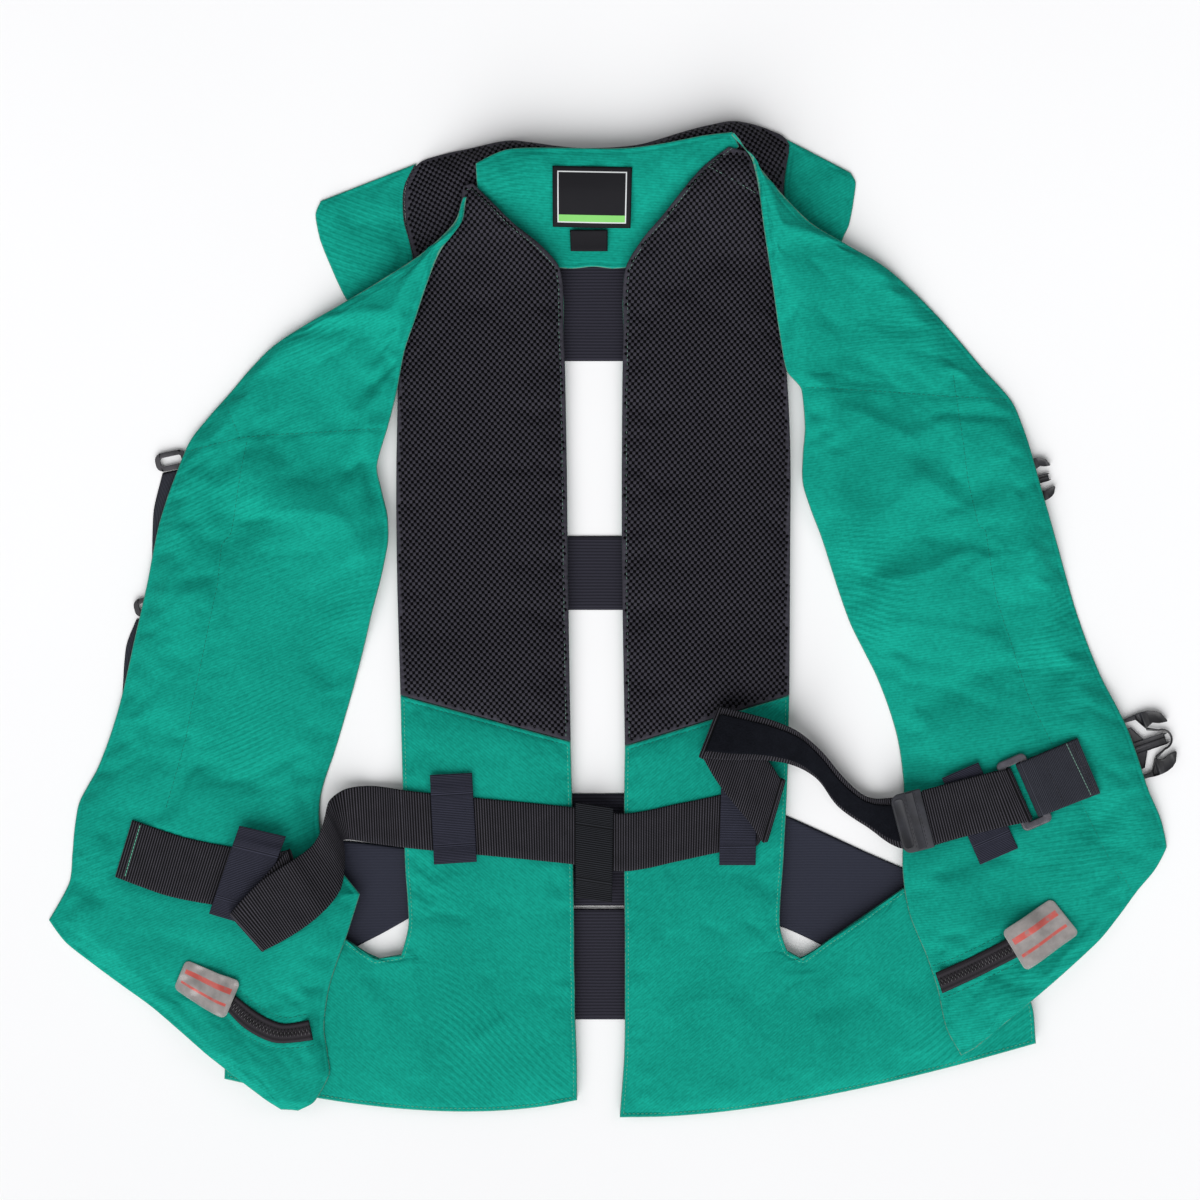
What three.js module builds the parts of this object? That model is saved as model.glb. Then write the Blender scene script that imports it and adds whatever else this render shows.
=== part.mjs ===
// Riding airbag vest, unfastened and laid open on its back.
// Millimetres, +Z up, the floor at z = 0. +Y points to the neck and +X to the right,
// as seen from above, with the inside of the vest facing up.
// The pieces are laid down in order, each one resting on those already there.

import * as THREE from 'three';

// Driving dimensions
const CLEAR = 0.45;           // space between a piece and what it lies on
const STRAP_CLEAR = 0.65;     // the same under straps, which are laid in coarser steps
const SHELL_THICK = 5;        // outer cloth of the back with the flat air bag in it
const MESH_THICK = 5.5;       // spacer mesh pad
const LINING_THICK = 3;
const FRONT_THICK = 9;        // padded front with the flat air bag in it
const YOKE_THICK = 2.5;
const WING_THICK = 4;
const CLOTH_EDGE = 1.6;       // sewn edge of a padded piece
const ELASTIC_THICK = 1.2;
const WEBBING_THICK = 1.5;
const LOOP_THICK = 1;
const LABEL_THICK = 0.8;
const FILM_THICK = 0.5;
const ZIP_THICK = 1.4;
const FLEECE_THICK = 0.9;
const RING = { length: 52, width: 22, bar: 6, end: 5, thick: 3.5, corner: 4 };
const RING_PLACE = { x: 288, y: -120.2, turn: 23.3 };
const SLIDE = { length: 22, width: 13, bar: 3, end: 3, thick: 3, corner: 2 };
const TAB = { length: 22, width: 42, thick: 4, corner: 5 };

const COLOUR = {
  green: 0x1a947a, mesh: 0x28262a, elastic: 0x24262d, webbing: 0x262325,
  loop: 0x25253a, plastic: 0x18181a, ring: 0x4a494b, rubber: 0x232326,
  label: 0x101012, film: 0xa9a5a3, fleece: 0x121113,
};

/** Rows of numbers as objects with named columns. */
function table(columns, rows) {
  return rows.map((row) => Object.fromEntries(columns.map((name, k) => [name, row[k]])));
}

// Plan tables. Edge a is the side towards the spine or the neck, edge b the far side,
// and m, where given, a point half-way along a bowed row.
const EDGES = ['ax', 'ay', 'bx', 'by'];
const BOWED = ['ax', 'ay', 'bx', 'by', 'mx', 'my'];

const BACK_LEFT = table(BOWED, [
  [-97, 304, -103.5, 302],
  [-68, 276, -109, 278],
  [-38, 249, -133, 249],
  [-34, 203, -147, 203],
  [-32, 126, -151, 126],
  [-31, 42, -151, 42],
  [-29, -85, -148.5, -52.5],
  [-28, -126, -147, -112],
  [-27, -182, -145, -175],
  [-26.5, -224, -143, -216],
  [-26.5, -241, -148, -235, -89, -237],
  [-26, -259, -166, -238, -113, -246],
  [-26, -274, -187, -224, -127, -257],
  [-25, -297, -239, -255, -134, -288],
  [-24.5, -318, -270, -298, -138, -320],
  [-24.5, -337, -272, -322, -134, -344],
]);

const BACK_RIGHT = table(BOWED, [
  [81, 329, 93, 326],
  [64, 316, 103, 308],
  [36, 283, 109, 282],
  [10.5, 249, 115.5, 249],
  [8, 203, 120.5, 203],
  [7, 126, 125, 126],
  [7, 42, 125, 42],
  [9, -88, 124.5, -52.5],
  [8.5, -129, 123, -115],
  [8.5, -176, 120, -173],
  [9, -220, 118, -216],
  [9, -239, 123, -232, 66, -235],
  [9, -255, 134, -238, 86, -243],
  [9, -270, 149, -227, 97, -254],
  [9, -287, 205, -188, 114, -266],
  [8.5, -308, 261, -227, 132, -294],
  [7, -329, 293, -266, 135, -317],
  [5.5, -349, 297.5, -297, 132, -337],
]);

const FRONT_LEFT = table(EDGES, [
  [-100.9, 294, -103.4, 293.5],
  [-105, 276.5, -110, 276],
  [-119.5, 256.5, -131, 256.5],
  [-129, 234.5, -159, 239],
  [-137, 211.5, -192, 220],
  [-145, 189, -238, 192.5],
  [-150.5, 161, -269, 159],
  [-157.5, 133, -297, 124.5],
  [-164.5, 108.5, -308, 98],
  [-157.5, 75, -318.5, 66.5],
  [-157, 52.5, -326, 28],
  [-168, 5.5, -335.5, -14],
  [-182, -49, -348, -66.5],
  [-195.5, -94.5, -362, -105],
  [-205, -126, -375, -129.5],
  [-201.5, -161, -379.5, -164.5],
  [-176.5, -192, -382, -185.5],
  [-185.5, -220.5, -396, -211],
  [-197.5, -255.5, -365.5, -241.5],
  [-201.5, -287, -323.5, -271.5],
  [-198, -318.5, -281.5, -306.5],
  [-208.5, -337.5, -245, -334.5],
  [-220, -344, -232, -343],
]);

const FRONT_RIGHT = table(EDGES, [
  [82.5, 337, 84.5, 338.4],
  [95.5, 322.5, 98.8, 319],
  [100.2, 307.5, 109, 306.5],
  [105, 276.5, 140, 276.5],
  [112.5, 231, 190.5, 248.5],
  [118.5, 192.5, 229.5, 213],
  [123, 173, 261, 176.5],
  [132.5, 161.5, 280.5, 154.5],
  [135, 135, 289, 135],
  [133.5, 96.5, 301, 94],
  [147, 58, 315, 45.5],
  [168, -3.5, 329, -1.5],
  [185.5, -38.5, 344.5, -41.5],
  [200, -80, 362, -76.5],
  [205, -119, 376.5, -119],
  [203.5, -173.5, 390, -159.5],
  [208.5, -206.5, 369.5, -190.5],
  [220, -234.5, 341.5, -225.5],
  [228, -259, 313.5, -250.5],
  [234, -285.5, 288.5, -271.5],
  [244.5, -305, 255, -299.5],
]);

// Shoulder flaps: a lies along the collar's toe, the last two rows under the fronts
const SHOULDER_WING_LEFT = table(EDGES, [
  [-137.4, 321, -205, 294.5],
  [-145.7, 303.2, -208.5, 285],
  [-145.7, 281.3, -206, 270],
  [-139.3, 253.3, -198, 249],
  [-145, 231, -185.5, 223.5],
  [-152, 211.5, -172, 208.5],
]);

const SHOULDER_WING_RIGHT = table(EDGES, [
  [120.9, 339, 168, 314.5],
  [124.4, 334.5, 171.5, 307.5],
  [120.9, 308, 170, 294.5],
  [122.4, 276.5, 166.5, 277],
  [128, 259, 161.5, 264.5],
  [133, 239.5, 164, 246.5],
]);

// Neck yoke from left to right: a is its upper edge, b its lower one
const YOKE = table(EDGES, [
  [-95, 318, -94, 299.5],
  [-75, 327.5, -73, 278.5],
  [-39, 329.5, -42, 248],
  [-10.5, 329, -13, 248],
  [12.5, 329.5, 14, 248],
  [39, 333, 42, 280],
  [63.5, 337.5, 67, 311.5],
  [83.8, 339.8, 88.5, 329.5],
]);

// Collar roll from its left end round the neck to its right end: a is the inner edge,
// b the outer toe, crest the height of the roll and ridge how far across it stands
const COLLAR = table([...EDGES, 'crest', 'ridge'], [
  [-123, 250.5, -138.5, 253.5, 5, 0.45],
  [-99, 271.5, -145, 281.5, 11, 0.4],
  [-85.5, 285.5, -145, 303, 15, 0.42],
  [-76.5, 290.5, -136.5, 320.5, 17, 0.5],
  [-64.5, 294, -102, 331, 19, 0.66],
  [-47, 294, -75, 337, 19, 0.78],
  [-19, 292.5, -22.5, 332, 19, 0.88],
  [16, 294, 19.5, 334.5, 19, 0.86],
  [42, 299.5, 50.5, 343.5, 19, 0.8],
  [65, 302.5, 87.5, 350.5, 19, 0.8],
  [81, 297.5, 110.5, 344.5, 17, 0.58],
  [91, 285.5, 124, 334.5, 14, 0.45],
  [98, 267.5, 120.5, 308, 10, 0.42],
  [105, 250.5, 122, 276.5, 5, 0.45],
]);

// Elastic side panels from the back outwards: a is the upper edge, b the lower one
const GUSSET_LEFT = table(EDGES, [
  [-136, -161.5, -136, -206],
  [-162.5, -158, -162.5, -221],
  [-185, -155.5, -185, -232.5],
  [-203, -155.5, -203, -217],
]);

const GUSSET_RIGHT = table(EDGES, [
  [112, -133, 112, -213],
  [131.5, -141.5, 131.5, -221],
  [152.5, -151, 151, -230.5],
  [180.5, -164, 182, -215.5],
  [215.5, -179, 215.5, -199.5],
]);

// Elastic bands over the spine gap
const SPINE_BANDS = table(['name', 'left', 'right', 'top', 'bottom'], [
  ['spine_band_top', -43.5, 15.5, 255, 182],
  ['spine_band_mid', -36.5, 14, 59, 7],
  ['spine_band_belt', -34.5, 14.5, -122, -201],
  ['spine_band_low', -33, 15.5, -203, -281],
]);

// Folds and dents of the padded fronts and of the mesh: a trough or a ridge along a line,
// high above the cloth round it (below it where negative) and wide to either side
const FOLD = ['x1', 'y1', 'x2', 'y2', 'wide', 'high'];

const FRONT_LEFT_FOLDS = table(FOLD, [
  [-240, 118, -164, 108, 14, -3.2],
  [-262, 60, -232, 74, 11, -2.4],
  [-250, 100, -170, 78, 16, 2.4],
  [-158, 188, -172, 158, 10, -2.2],
  [-290, 127, -160, 133, 9, -2],
  [-300, 20, -240, -60, 26, 2],
  [-330, -90, -260, -110, 18, -1.6],
  [-300, -215, -215, -225, 22, 2.2],
]);

const FRONT_RIGHT_FOLDS = table(FOLD, [
  [135, 161, 280, 154, 9, -2],
  [225, 115, 262, 85, 12, -2.4],
  [165, 32, 262, 52, 12, -2.2],
  [160, 62, 220, 104, 13, 2],
  [200, 20, 300, 40, 20, 2.2],
  [235, -60, 330, -30, 18, -1.6],
  [250, -230, 330, -180, 22, 2],
]);

const BACK_MESH_FOLDS = {
  left: table(FOLD, [[-120, 253, -86, 257, 9, -2], [-150, -8, -32, -4, 8, -1.2]]),
  right: table(FOLD, [[66, 257, 114, 252, 9, -2], [8, -4, 124, -8, 8, -1.2]]),
};

// The waist belt, one length of webbing, in runs between its folds. Each run starts on
// the crease where the last one ended. tip is how much higher edge a stands where the
// belt turns on its edge.
const RUN = ['ax', 'ay', 'bx', 'by', 'tip'];

const BELT_RUNS = {
  // sewn end on the left front, under its loop, to the hidden fold
  leftFront: table(RUN, [
    [-336, -140, -348, -180, 0],
    [-300, -152, -312, -193, 0],
    [-265, -159, -278, -199.5, 0],
    [-241, -163, -245, -204, 0],
    [-225, -160, -211, -203, 0],
  ]),
  // tucked back under the next run
  tucked: table(RUN, [
    [-225, -160, -211, -203, 0],
    [-266.5, -204.5, -243, -231, 0],
  ]),
  // over the armhole, across the back, to the fold by the right armhole
  back: table(RUN, [
    [-266.5, -204.5, -243, -231, 0],
    [-245, -182, -221, -218.5, 0],
    [-225.5, -169, -203, -205, 0],
    [-210, -158, -190, -189, 4],
    [-203, -147, -187.5, -175, 12],
    [-199.5, -135, -188, -161, 17],
    [-197, -126, -189, -155, 17],
    [-187, -118.5, -184, -154.5, 8],
    [-168, -116.5, -166.5, -157, 0],
    [-147.5, -119, -145.5, -159.5, 0],
    [-112, -123, -110, -163, 0],
    [-68, -127, -66.5, -167, 0],
    [-28.5, -131, -28.5, -171, 0],
    [8.5, -135.5, 8.5, -176, 0],
    [42, -129.5, 41.5, -170, 0],
    [75.5, -122.5, 74, -163, 0],
    [98, -117, 95, -160, 0],
    [121, -111.5, 108, -155.5, 0],
  ]),
  // turned back up and to the left
  diagonal: table(RUN, [
    [121, -111.5, 108, -155.5, 0],
    [98, -86, 84, -127, 0],
    [75, -60, 61, -96, 0],
  ]),
  // the tail, over the right armhole on its edge, under the end tab, to the ring
  tail: table(RUN, [
    [75, -60, 61, -96, 0],
    [93, -64.5, 81, -97.5, 0],
    [112.5, -70, 101.5, -97.5, 4],
    [129.5, -77.5, 124.5, -101, 12],
    [145.5, -91, 144, -111.5, 16],
    [163, -111.5, 159, -131, 14],
    [179, -124, 180, -146, 8],
    [195.5, -124.5, 203, -160, 0],
    [236, -114.5, 247, -151.5, 0],
    [277.5, -103, 293.5, -139.5, 0],
  ]),
  // round the ring's bar and back on top to the end tab
  end: table(RUN, [
    [277.5, -103, 293.5, -139.5, 0],
    [246, -111, 257, -148.5, 0],
    [216, -119, 225, -156.5, 0],
  ]),
};
const TAIL_STEPS = 4;                                 // cross lines to a row of the tail
const FLEECE = { from: 4, rows: 19, inset: 0.13 };    // cross lines of the tail that it covers

// Webbing that holds the ring: it runs from its sewn end to the crease and back on top
const RING_ANCHOR = table(RUN, [
  [325, -82.5, 341, -121, 0],
  [304, -91.5, 320, -129, 0],
  [282.5, -100.5, 298.5, -137.5, 0],
]);

// Belt loops: the sewn end above the belt (corners a1, b1) and the one below it (a2, b2)
const LOOP_CORNERS = ['ax1', 'ay1', 'bx1', 'by1', 'ax2', 'ay2', 'bx2', 'by2'];
const BELT_LOOPS = table(['name', ...LOOP_CORNERS], [
  ['belt_loop_front_left', -260, -143.5, -227.5, -151, -281.5, -205, -251, -214],
  ['belt_loop_back_left', -127.5, -108.5, -98, -107, -124.5, -171, -94.5, -169],
  ['belt_loop_back_right', 76.5, -109, 101.5, -108, 75, -171.5, 100.5, -171.5],
  ['belt_loop_front_right', 230.5, -110.5, 256, -99.5, 257.5, -171, 284, -159.5],
  ['belt_loop_spine', -25.5, -127.5, 1, -131.5, -25.5, -194, 0, -198],
]);

// Pocket zips and the film tags over their ends: a is the upper edge, b the lower one
const ZIP_LEFT = table(EDGES, [
  [-263, -262, -269, -272.5],
  [-248, -273.5, -257, -284.5],
  [-230, -281.5, -235, -295],
  [-211.5, -279, -208.5, -293],
]);
const ZIP_RIGHT = table(EDGES, [
  [225.5, -246, 230.5, -260.5],
  [250, -235, 256, -248.5],
  [286, -217, 293, -230],
]);
const TAG_LEFT = table(EDGES, [
  [-298, -237.5, -306.5, -257.5],
  [-277, -246, -287, -270],
  [-259, -252, -270, -278.5],
]);
const TAG_RIGHT = table(EDGES, [
  [271.5, -217, 288.5, -245],
  [290, -205.5, 308, -232],
  [307.5, -194.5, 327, -219],
]);

const NECK_LABEL = table(EDGES, [
  [-41.5, 316.5, -41.5, 275],
  [-13.5, 316, -13.5, 274.5],
  [14, 315.5, 13, 274],
]);
const SIZE_LABEL = table(EDGES, [[-29.5, 273.3, -29, 258.5], [-3, 273.3, -3, 258.5]]);

// Side-release plugs: the middle between the tips of their arms, direction they point in, overall width
const BUCKLES = table(['name', 'strap', 'x', 'y', 'turn', 'width', 'reach', 'strapWidth'], [
  ['buckle_upper', 'buckle_strap_upper', 310, 101.5, 16, 31, 25, 20],
  ['buckle_lower', 'buckle_strap_lower', 393.8, -81.5, 19, 46, 37, 30],
]);
const BUCKLE_THICK = 4.6;
const BUCKLE_BASE = 16;
const BUCKLE_STRAP_LENGTH = 55;

// Webbing under the left front's edge: a is the side that shows
const EDGE_STRAPS = {
  edge_strap_upper: table(EDGES, [
    [-316, 103.4, -298, 107.2],
    [-322, 79, -302, 80],
    [-323.5, 42, -303.5, 42],
  ]),
  edge_strap_lower: table(EDGES, [
    [-334.5, 0.4, -316, 4.9],
    [-341, -16, -321, -12],
    [-345, -62, -325, -61],
  ]),
};
const STRAP_SLIDES = table(['name', 'x', 'y', 'turn'], [
  ['strap_slide_upper', -310, 112, 12],
  ['strap_slide_lower', -325, 10, 14],
]);

// Pieces already laid down, which the next ones rest on
const laid = [];
const vest = new THREE.Group();
const ray = new THREE.Raycaster();
const SKY = 300;
const FLOOR = -CLEAR;         // counted so that pieces lying on the floor start at 0
const DOWN = new THREE.Vector3(0, 0, -1);

function finish(colour, roughness = 0.85) {
  return new THREE.MeshStandardMaterial({ color: colour, roughness, metalness: 0 });
}

/** Height of the given pieces at a point of the plan. */
function heightAt(x, y, pieces) {
  ray.set(new THREE.Vector3(x, y, SKY), DOWN);
  const hit = ray.intersectObjects(pieces, false)[0];
  return hit ? hit.point.z : FLOOR;
}

/** Greatest height within reach of a point, so that a piece clears the edges near it. */
function seatAt(x, y, reach, pieces = laid) {
  let top = heightAt(x, y, pieces);
  const spokes = 8;
  for (const radius of [reach / 2, reach]) {
    for (let k = 0; k < spokes; k += 1) {
      const angle = (k * 2 * Math.PI) / spokes;
      const [dx, dy] = [radius * Math.cos(angle), radius * Math.sin(angle)];
      top = Math.max(top, heightAt(x + dx, y + dy, pieces));
    }
  }
  return top;
}

function edgeCurve(rows, x, y) {
  const points = rows.map((row) => new THREE.Vector3(row[x], row[y], 0));
  return new THREE.CatmullRomCurve3(points, false, 'centripetal');
}

/** Places along a table, counted in rows, that pass each row and lie about one cell apart. */
function stations(curve, rowCount, cell) {
  const places = [0];
  for (let row = 0; row + 1 < rowCount; row += 1) {
    const [start, end] = [row, row + 1].map((k) => curve.getPoint(k / (rowCount - 1)));
    const steps = Math.max(1, Math.round(start.distanceTo(end) / cell));
    for (let k = 1; k <= steps; k += 1) places.push(row + k / steps);
  }
  return places;
}

/** Points of the plan, line by line, with across steps in each line. */
function planGrid(rows, cell, across) {
  const a = edgeCurve(rows, 'ax', 'ay');
  const b = edgeCurve(rows, 'bx', 'by');
  const bowed = rows.map((row) => ({
    x: row.mx ?? (row.ax + row.bx) / 2,
    y: row.my ?? (row.ay + row.by) / 2,
  }));
  const m = edgeCurve(bowed, 'x', 'y');
  const places = stations(m, rows.length, cell);
  const grid = places.map((place) => {
    const [pa, pm, pb] = [a, m, b].map((curve) => curve.getPoint(place / (rows.length - 1)));
    return Array.from({ length: across + 1 }, (_, j) => {
      const t = j / across;
      const point = new THREE.Vector3();
      point.addScaledVector(pa, (1 - t) * (1 - 2 * t));
      point.addScaledVector(pm, 4 * t * (1 - t));
      return point.addScaledVector(pb, t * (2 * t - 1));
    });
  });
  return { grid, places };
}

/** Lets stiff cloth bridge steps: each height rises to the mean of its neighbours, never sinks. */
function ease(heights, rounds) {
  let now = heights;
  for (let round = 0; round < rounds; round += 1) {
    now = now.map((line, i) => line.map((z, j) => {
      const beside = [now[i - 1]?.[j], now[i + 1]?.[j], line[j - 1], line[j + 1]];
      const near = beside.filter((n) => n !== undefined);
      return Math.max(z, near.reduce((sum, n) => sum + n, 0) / near.length);
    }));
  }
  return now;
}

function distanceToLine(point, fold) {
  const start = new THREE.Vector3(fold.x1, fold.y1, 0);
  const line = new THREE.Line3(start, new THREE.Vector3(fold.x2, fold.y2, 0));
  return line.closestPointToPoint(point, true, new THREE.Vector3()).distanceTo(point);
}

/** Distance of every grid point from the rim of the grid. */
function rimDistances(grid) {
  const last = grid.length - 1;
  const ends = (line) => [line[0], line[line.length - 1]];
  const rim = grid.flatMap((line, i) => (i === 0 || i === last ? line : ends(line)));
  const fromRim = (point) => Math.min(...rim.map((edge) => edge.distanceTo(point)));
  return grid.map((line) => line.map(fromRim));
}

/** Closed mesh between a lower and an upper height over the same grid. */
function slabGeometry(grid, low, high) {
  const rows = grid.length;
  const columns = grid[0].length;
  const positions = [];
  for (const heights of [high, low]) {
    grid.forEach((line, i) => line.forEach((point, j) => {
      positions.push(point.x, point.y, heights[i][j]);
    }));
  }
  const index = [];
  const top = (i, j) => i * columns + j;
  const bottom = (i, j) => rows * columns + top(i, j);
  const edge = columns - 1;
  const quad = (p, q, r, s) => index.push(p, q, r, p, r, s);
  for (let i = 0; i + 1 < rows; i += 1) {
    for (let j = 0; j + 1 < columns; j += 1) {
      quad(top(i, j), top(i + 1, j), top(i + 1, j + 1), top(i, j + 1));
      quad(bottom(i, j), bottom(i, j + 1), bottom(i + 1, j + 1), bottom(i + 1, j));
    }
    quad(bottom(i, 0), bottom(i + 1, 0), top(i + 1, 0), top(i, 0));
    quad(top(i, edge), top(i + 1, edge), bottom(i + 1, edge), bottom(i, edge));
  }
  for (let j = 0; j + 1 < columns; j += 1) {
    quad(top(0, j), top(0, j + 1), bottom(0, j + 1), bottom(0, j));
    quad(bottom(rows - 1, j), bottom(rows - 1, j + 1), top(rows - 1, j + 1), top(rows - 1, j));
  }
  return facingOut(positions, index);
}

function facingOut(positions, index) {
  const corner = (k) => new THREE.Vector3().fromArray(positions, 3 * index[k]);
  let volume = 0;
  for (let k = 0; k < index.length; k += 3) {
    volume += corner(k).dot(corner(k + 1).cross(corner(k + 2)));
  }
  const geometry = new THREE.BufferGeometry();
  geometry.setAttribute('position', new THREE.Float32BufferAttribute(positions, 3));
  geometry.setIndex(volume > 0 ? index : [...index].reverse());
  geometry.computeVertexNormals();
  return geometry;
}

function add(name, geometry, material) {
  const mesh = new THREE.Mesh(geometry, material);
  mesh.name = name;
  mesh.updateMatrixWorld();
  vest.add(mesh);
  return mesh;
}

/** Thickness of a padded piece: a thin sewn edge that rounds up to the full padding. */
function padding(full, shoulder, edge = CLOTH_EDGE) {
  return ({ fromRim }) => {
    const q = Math.min(fromRim / shoulder, 1);
    return edge + (full - edge) * Math.sqrt(1 - (1 - q) ** 2);
  };
}

const flat = (thick) => () => thick;

/** Distance from a grid point to the farthest of its neighbours. */
function cellReach(grid, i, j) {
  const beside = [grid[i - 1]?.[j], grid[i + 1]?.[j], grid[i][j - 1], grid[i][j + 1]];
  const near = beside.filter((point) => point !== undefined);
  return Math.max(...near.map((point) => point.distanceTo(grid[i][j])));
}

/** Lays a piece of cloth on what is there: its plan, its thickness and its folds. */
function layPanel(name, material, rows, spec) {
  const { cell, across, thickness, folds = [], rounds = 3, clear = CLEAR, on = laid } = spec;
  const { grid, places } = planGrid(rows, cell, across);
  const seats = grid.map((line, i) => line.map((point, j) => (
    seatAt(point.x, point.y, cellReach(grid, i, j), on) + clear
  )));
  const low = ease(seats, rounds);
  const rim = rimDistances(grid);
  const high = low.map((line, i) => line.map((z, j) => {
    const thick = thickness({ fromRim: rim[i][j], place: places[i], across: j / across });
    const fade = THREE.MathUtils.smoothstep(rim[i][j], 0, 20);
    const swell = (f) => f.high * Math.exp(-((distanceToLine(grid[i][j], f) / f.wide) ** 2));
    const fold = folds.reduce((sum, f) => sum + swell(f), 0);
    return z + Math.max(thick + fold * fade, Math.min(thick, CLOTH_EDGE));
  }));
  const mesh = add(name, slabGeometry(grid, low, high), material);
  laid.push(mesh);
  return mesh;
}

/** Cross lines of one run of webbing, seated on what lies below. */
function runSections(rows, perRow, thick) {
  const a = edgeCurve(rows, 'ax', 'ay');
  const b = edgeCurve(rows, 'bx', 'by');
  const steps = (rows.length - 1) * perRow;
  const plan = [];
  for (let i = 0; i <= steps; i += 1) {
    const [pa, pb] = [a, b].map((curve) => curve.getPoint(i / steps));
    const row = Math.min(Math.floor(i / perRow), rows.length - 2);
    const tip = THREE.MathUtils.lerp(rows[row].tip, rows[row + 1].tip, i / perRow - row);
    plan.push({ pa, pb, tip });
  }
  const reach = 5;
  const shares = [0.25, 0.5, 0.75];
  const seats = plan.map(({ pa, pb }) => {
    const seat = (share) => {
      const point = pa.clone().lerp(pb, share);
      return seatAt(point.x, point.y, reach);
    };
    const [za, zb] = [seat(0), seat(1)];
    const bulges = shares.map((share) => seat(share) - THREE.MathUtils.lerp(za, zb, share));
    const crown = Math.max(0, ...bulges);
    return [za + crown, zb + crown];
  });
  const eased = ease(seats, 8);
  const lift = STRAP_CLEAR + thick / 2;
  return plan.map(({ pa, pb, tip }, i) => ({
    a: pa.setZ(eased[i][0] + lift + tip),
    b: pb.setZ(eased[i][1] + lift),
  }));
}

/** Seats one run of webbing, so that later pieces rest on it, and returns its cross lines. */
function layRun(rows, thick = WEBBING_THICK, perRow = 2) {
  const sections = runSections(rows, perRow, thick);
  laid.push(new THREE.Mesh(stripGeometry(sections, thick)));
  return sections;
}

/** Joins runs of webbing into one length with a half turn at each crease. */
function joinRuns(runs) {
  const sections = [...runs[0]];
  for (const next of runs.slice(1)) {
    const last = sections[sections.length - 1];
    const before = sections[sections.length - 2];
    const first = next[0];
    const crease = last.b.clone().sub(last.a).setZ(0).normalize();
    const outward = new THREE.Vector3(crease.y, -crease.x, 0);
    const travel = last.a.clone().add(last.b).sub(before.a).sub(before.b).setZ(0);
    if (outward.dot(travel) < 0) outward.negate();
    const radius = Math.abs(first.a.z - last.a.z + first.b.z - last.b.z) / 4;
    for (const section of [last, first]) {
      section.a.addScaledVector(outward, -radius);
      section.b.addScaledVector(outward, -radius);
    }
    for (const turn of [45, 90, 135]) {
      const angle = THREE.MathUtils.degToRad(turn);
      const share = (1 - Math.cos(angle)) / 2;
      sections.push({
        a: last.a.clone().lerp(first.a, share).addScaledVector(outward, radius * Math.sin(angle)),
        b: last.b.clone().lerp(first.b, share).addScaledVector(outward, radius * Math.sin(angle)),
      });
    }
    sections.push(...next);
  }
  return sections;
}

/** Unit normal of a strip at each of its cross lines. */
function stripNormals(sections) {
  const last = sections.length - 1;
  return sections.map(({ a, b }, i) => {
    const ahead = sections[Math.min(i + 1, last)];
    const behind = sections[Math.max(i - 1, 0)];
    const tangent = ahead.a.clone().add(ahead.b).sub(behind.a).sub(behind.b).normalize();
    return b.clone().sub(a).cross(tangent).normalize();
  });
}

/** Flat strip of webbing through its cross lines. */
function stripGeometry(sections, thick) {
  const positions = [];
  const index = [];
  const last = sections.length - 1;
  const normals = stripNormals(sections);
  sections.forEach(({ a, b }, i) => {
    const offset = normals[i].multiplyScalar(thick / 2);
    const upper = [a, b].map((edge) => edge.clone().add(offset));
    const lower = [b, a].map((edge) => edge.clone().sub(offset));
    [...upper, ...lower].forEach((corner) => positions.push(corner.x, corner.y, corner.z));
  });
  const sides = 4;
  const quad = (p, q, r, s) => index.push(p, q, r, p, r, s);
  for (let i = 0; i < last; i += 1) {
    for (let k = 0; k < sides; k += 1) {
      const next = (k + 1) % sides;
      quad(i * sides + k, i * sides + next, (i + 1) * sides + next, (i + 1) * sides + k);
    }
  }
  quad(3, 2, 1, 0);
  quad(last * sides, last * sides + 1, last * sides + 2, last * sides + 3);
  return facingOut(positions, index);
}

/** Rounded rectangular outline about the origin. */
function roundedOutline(Outline, length, width, corner) {
  const [x, y, r] = [length / 2, width / 2, corner];
  const outline = new Outline();
  outline.moveTo(-x + r, -y);
  outline.lineTo(x - r, -y);
  outline.absarc(x - r, -y + r, r, -Math.PI / 2, 0, false);
  outline.lineTo(x, y - r);
  outline.absarc(x - r, y - r, r, 0, Math.PI / 2, false);
  outline.lineTo(-x + r, y);
  outline.absarc(-x + r, y - r, r, Math.PI / 2, Math.PI, false);
  outline.lineTo(-x, -y + r);
  outline.absarc(-x + r, -y + r, r, Math.PI, Math.PI * 1.5, false);
  return outline;
}

function frameShape({ length, width, bar, end, corner }) {
  const shape = roundedOutline(THREE.Shape, length, width, corner);
  shape.holes.push(roundedOutline(THREE.Path, length - 2 * end, width - 2 * bar, 1));
  return shape;
}

function plate(shape, thick, curveSegments = 2) {
  return new THREE.ExtrudeGeometry(shape, { depth: thick, bevelEnabled: false, curveSegments });
}

/** Outline of a side-release plug: two springing arms with hooked heads, and a middle guide on a base. */
function plugShape(width, reach) {
  const half = width / 2;
  const upper = [
    [-BUCKLE_BASE / reach, 0.92], [0.46, 1], [0.62, 1], [0.8, 0.94], [0.92, 0.8], [1, 0.5],
    [0.84, 0.5], [0.7, 0.58], [0.57, 0.47], [0.45, 0.84], [0.2, 0.84], [0.2, 0.67],
    [0.31, 0.65], [0.46, 0.18], [0.86, 0.18], [0.86, 0.08],
  ].map(([along, aside]) => [along * reach, aside * half]);
  const lower = upper.map(([x, y]) => [x, -y]).reverse();
  return new THREE.Shape([...upper, ...lower].map(([x, y]) => new THREE.Vector2(x, y)));
}

const green = finish(COLOUR.green);
const meshCloth = finish(COLOUR.mesh);
const elastic = finish(COLOUR.elastic);
const webbing = finish(COLOUR.webbing, 0.7);
const plastic = finish(COLOUR.plastic, 0.35);

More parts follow.
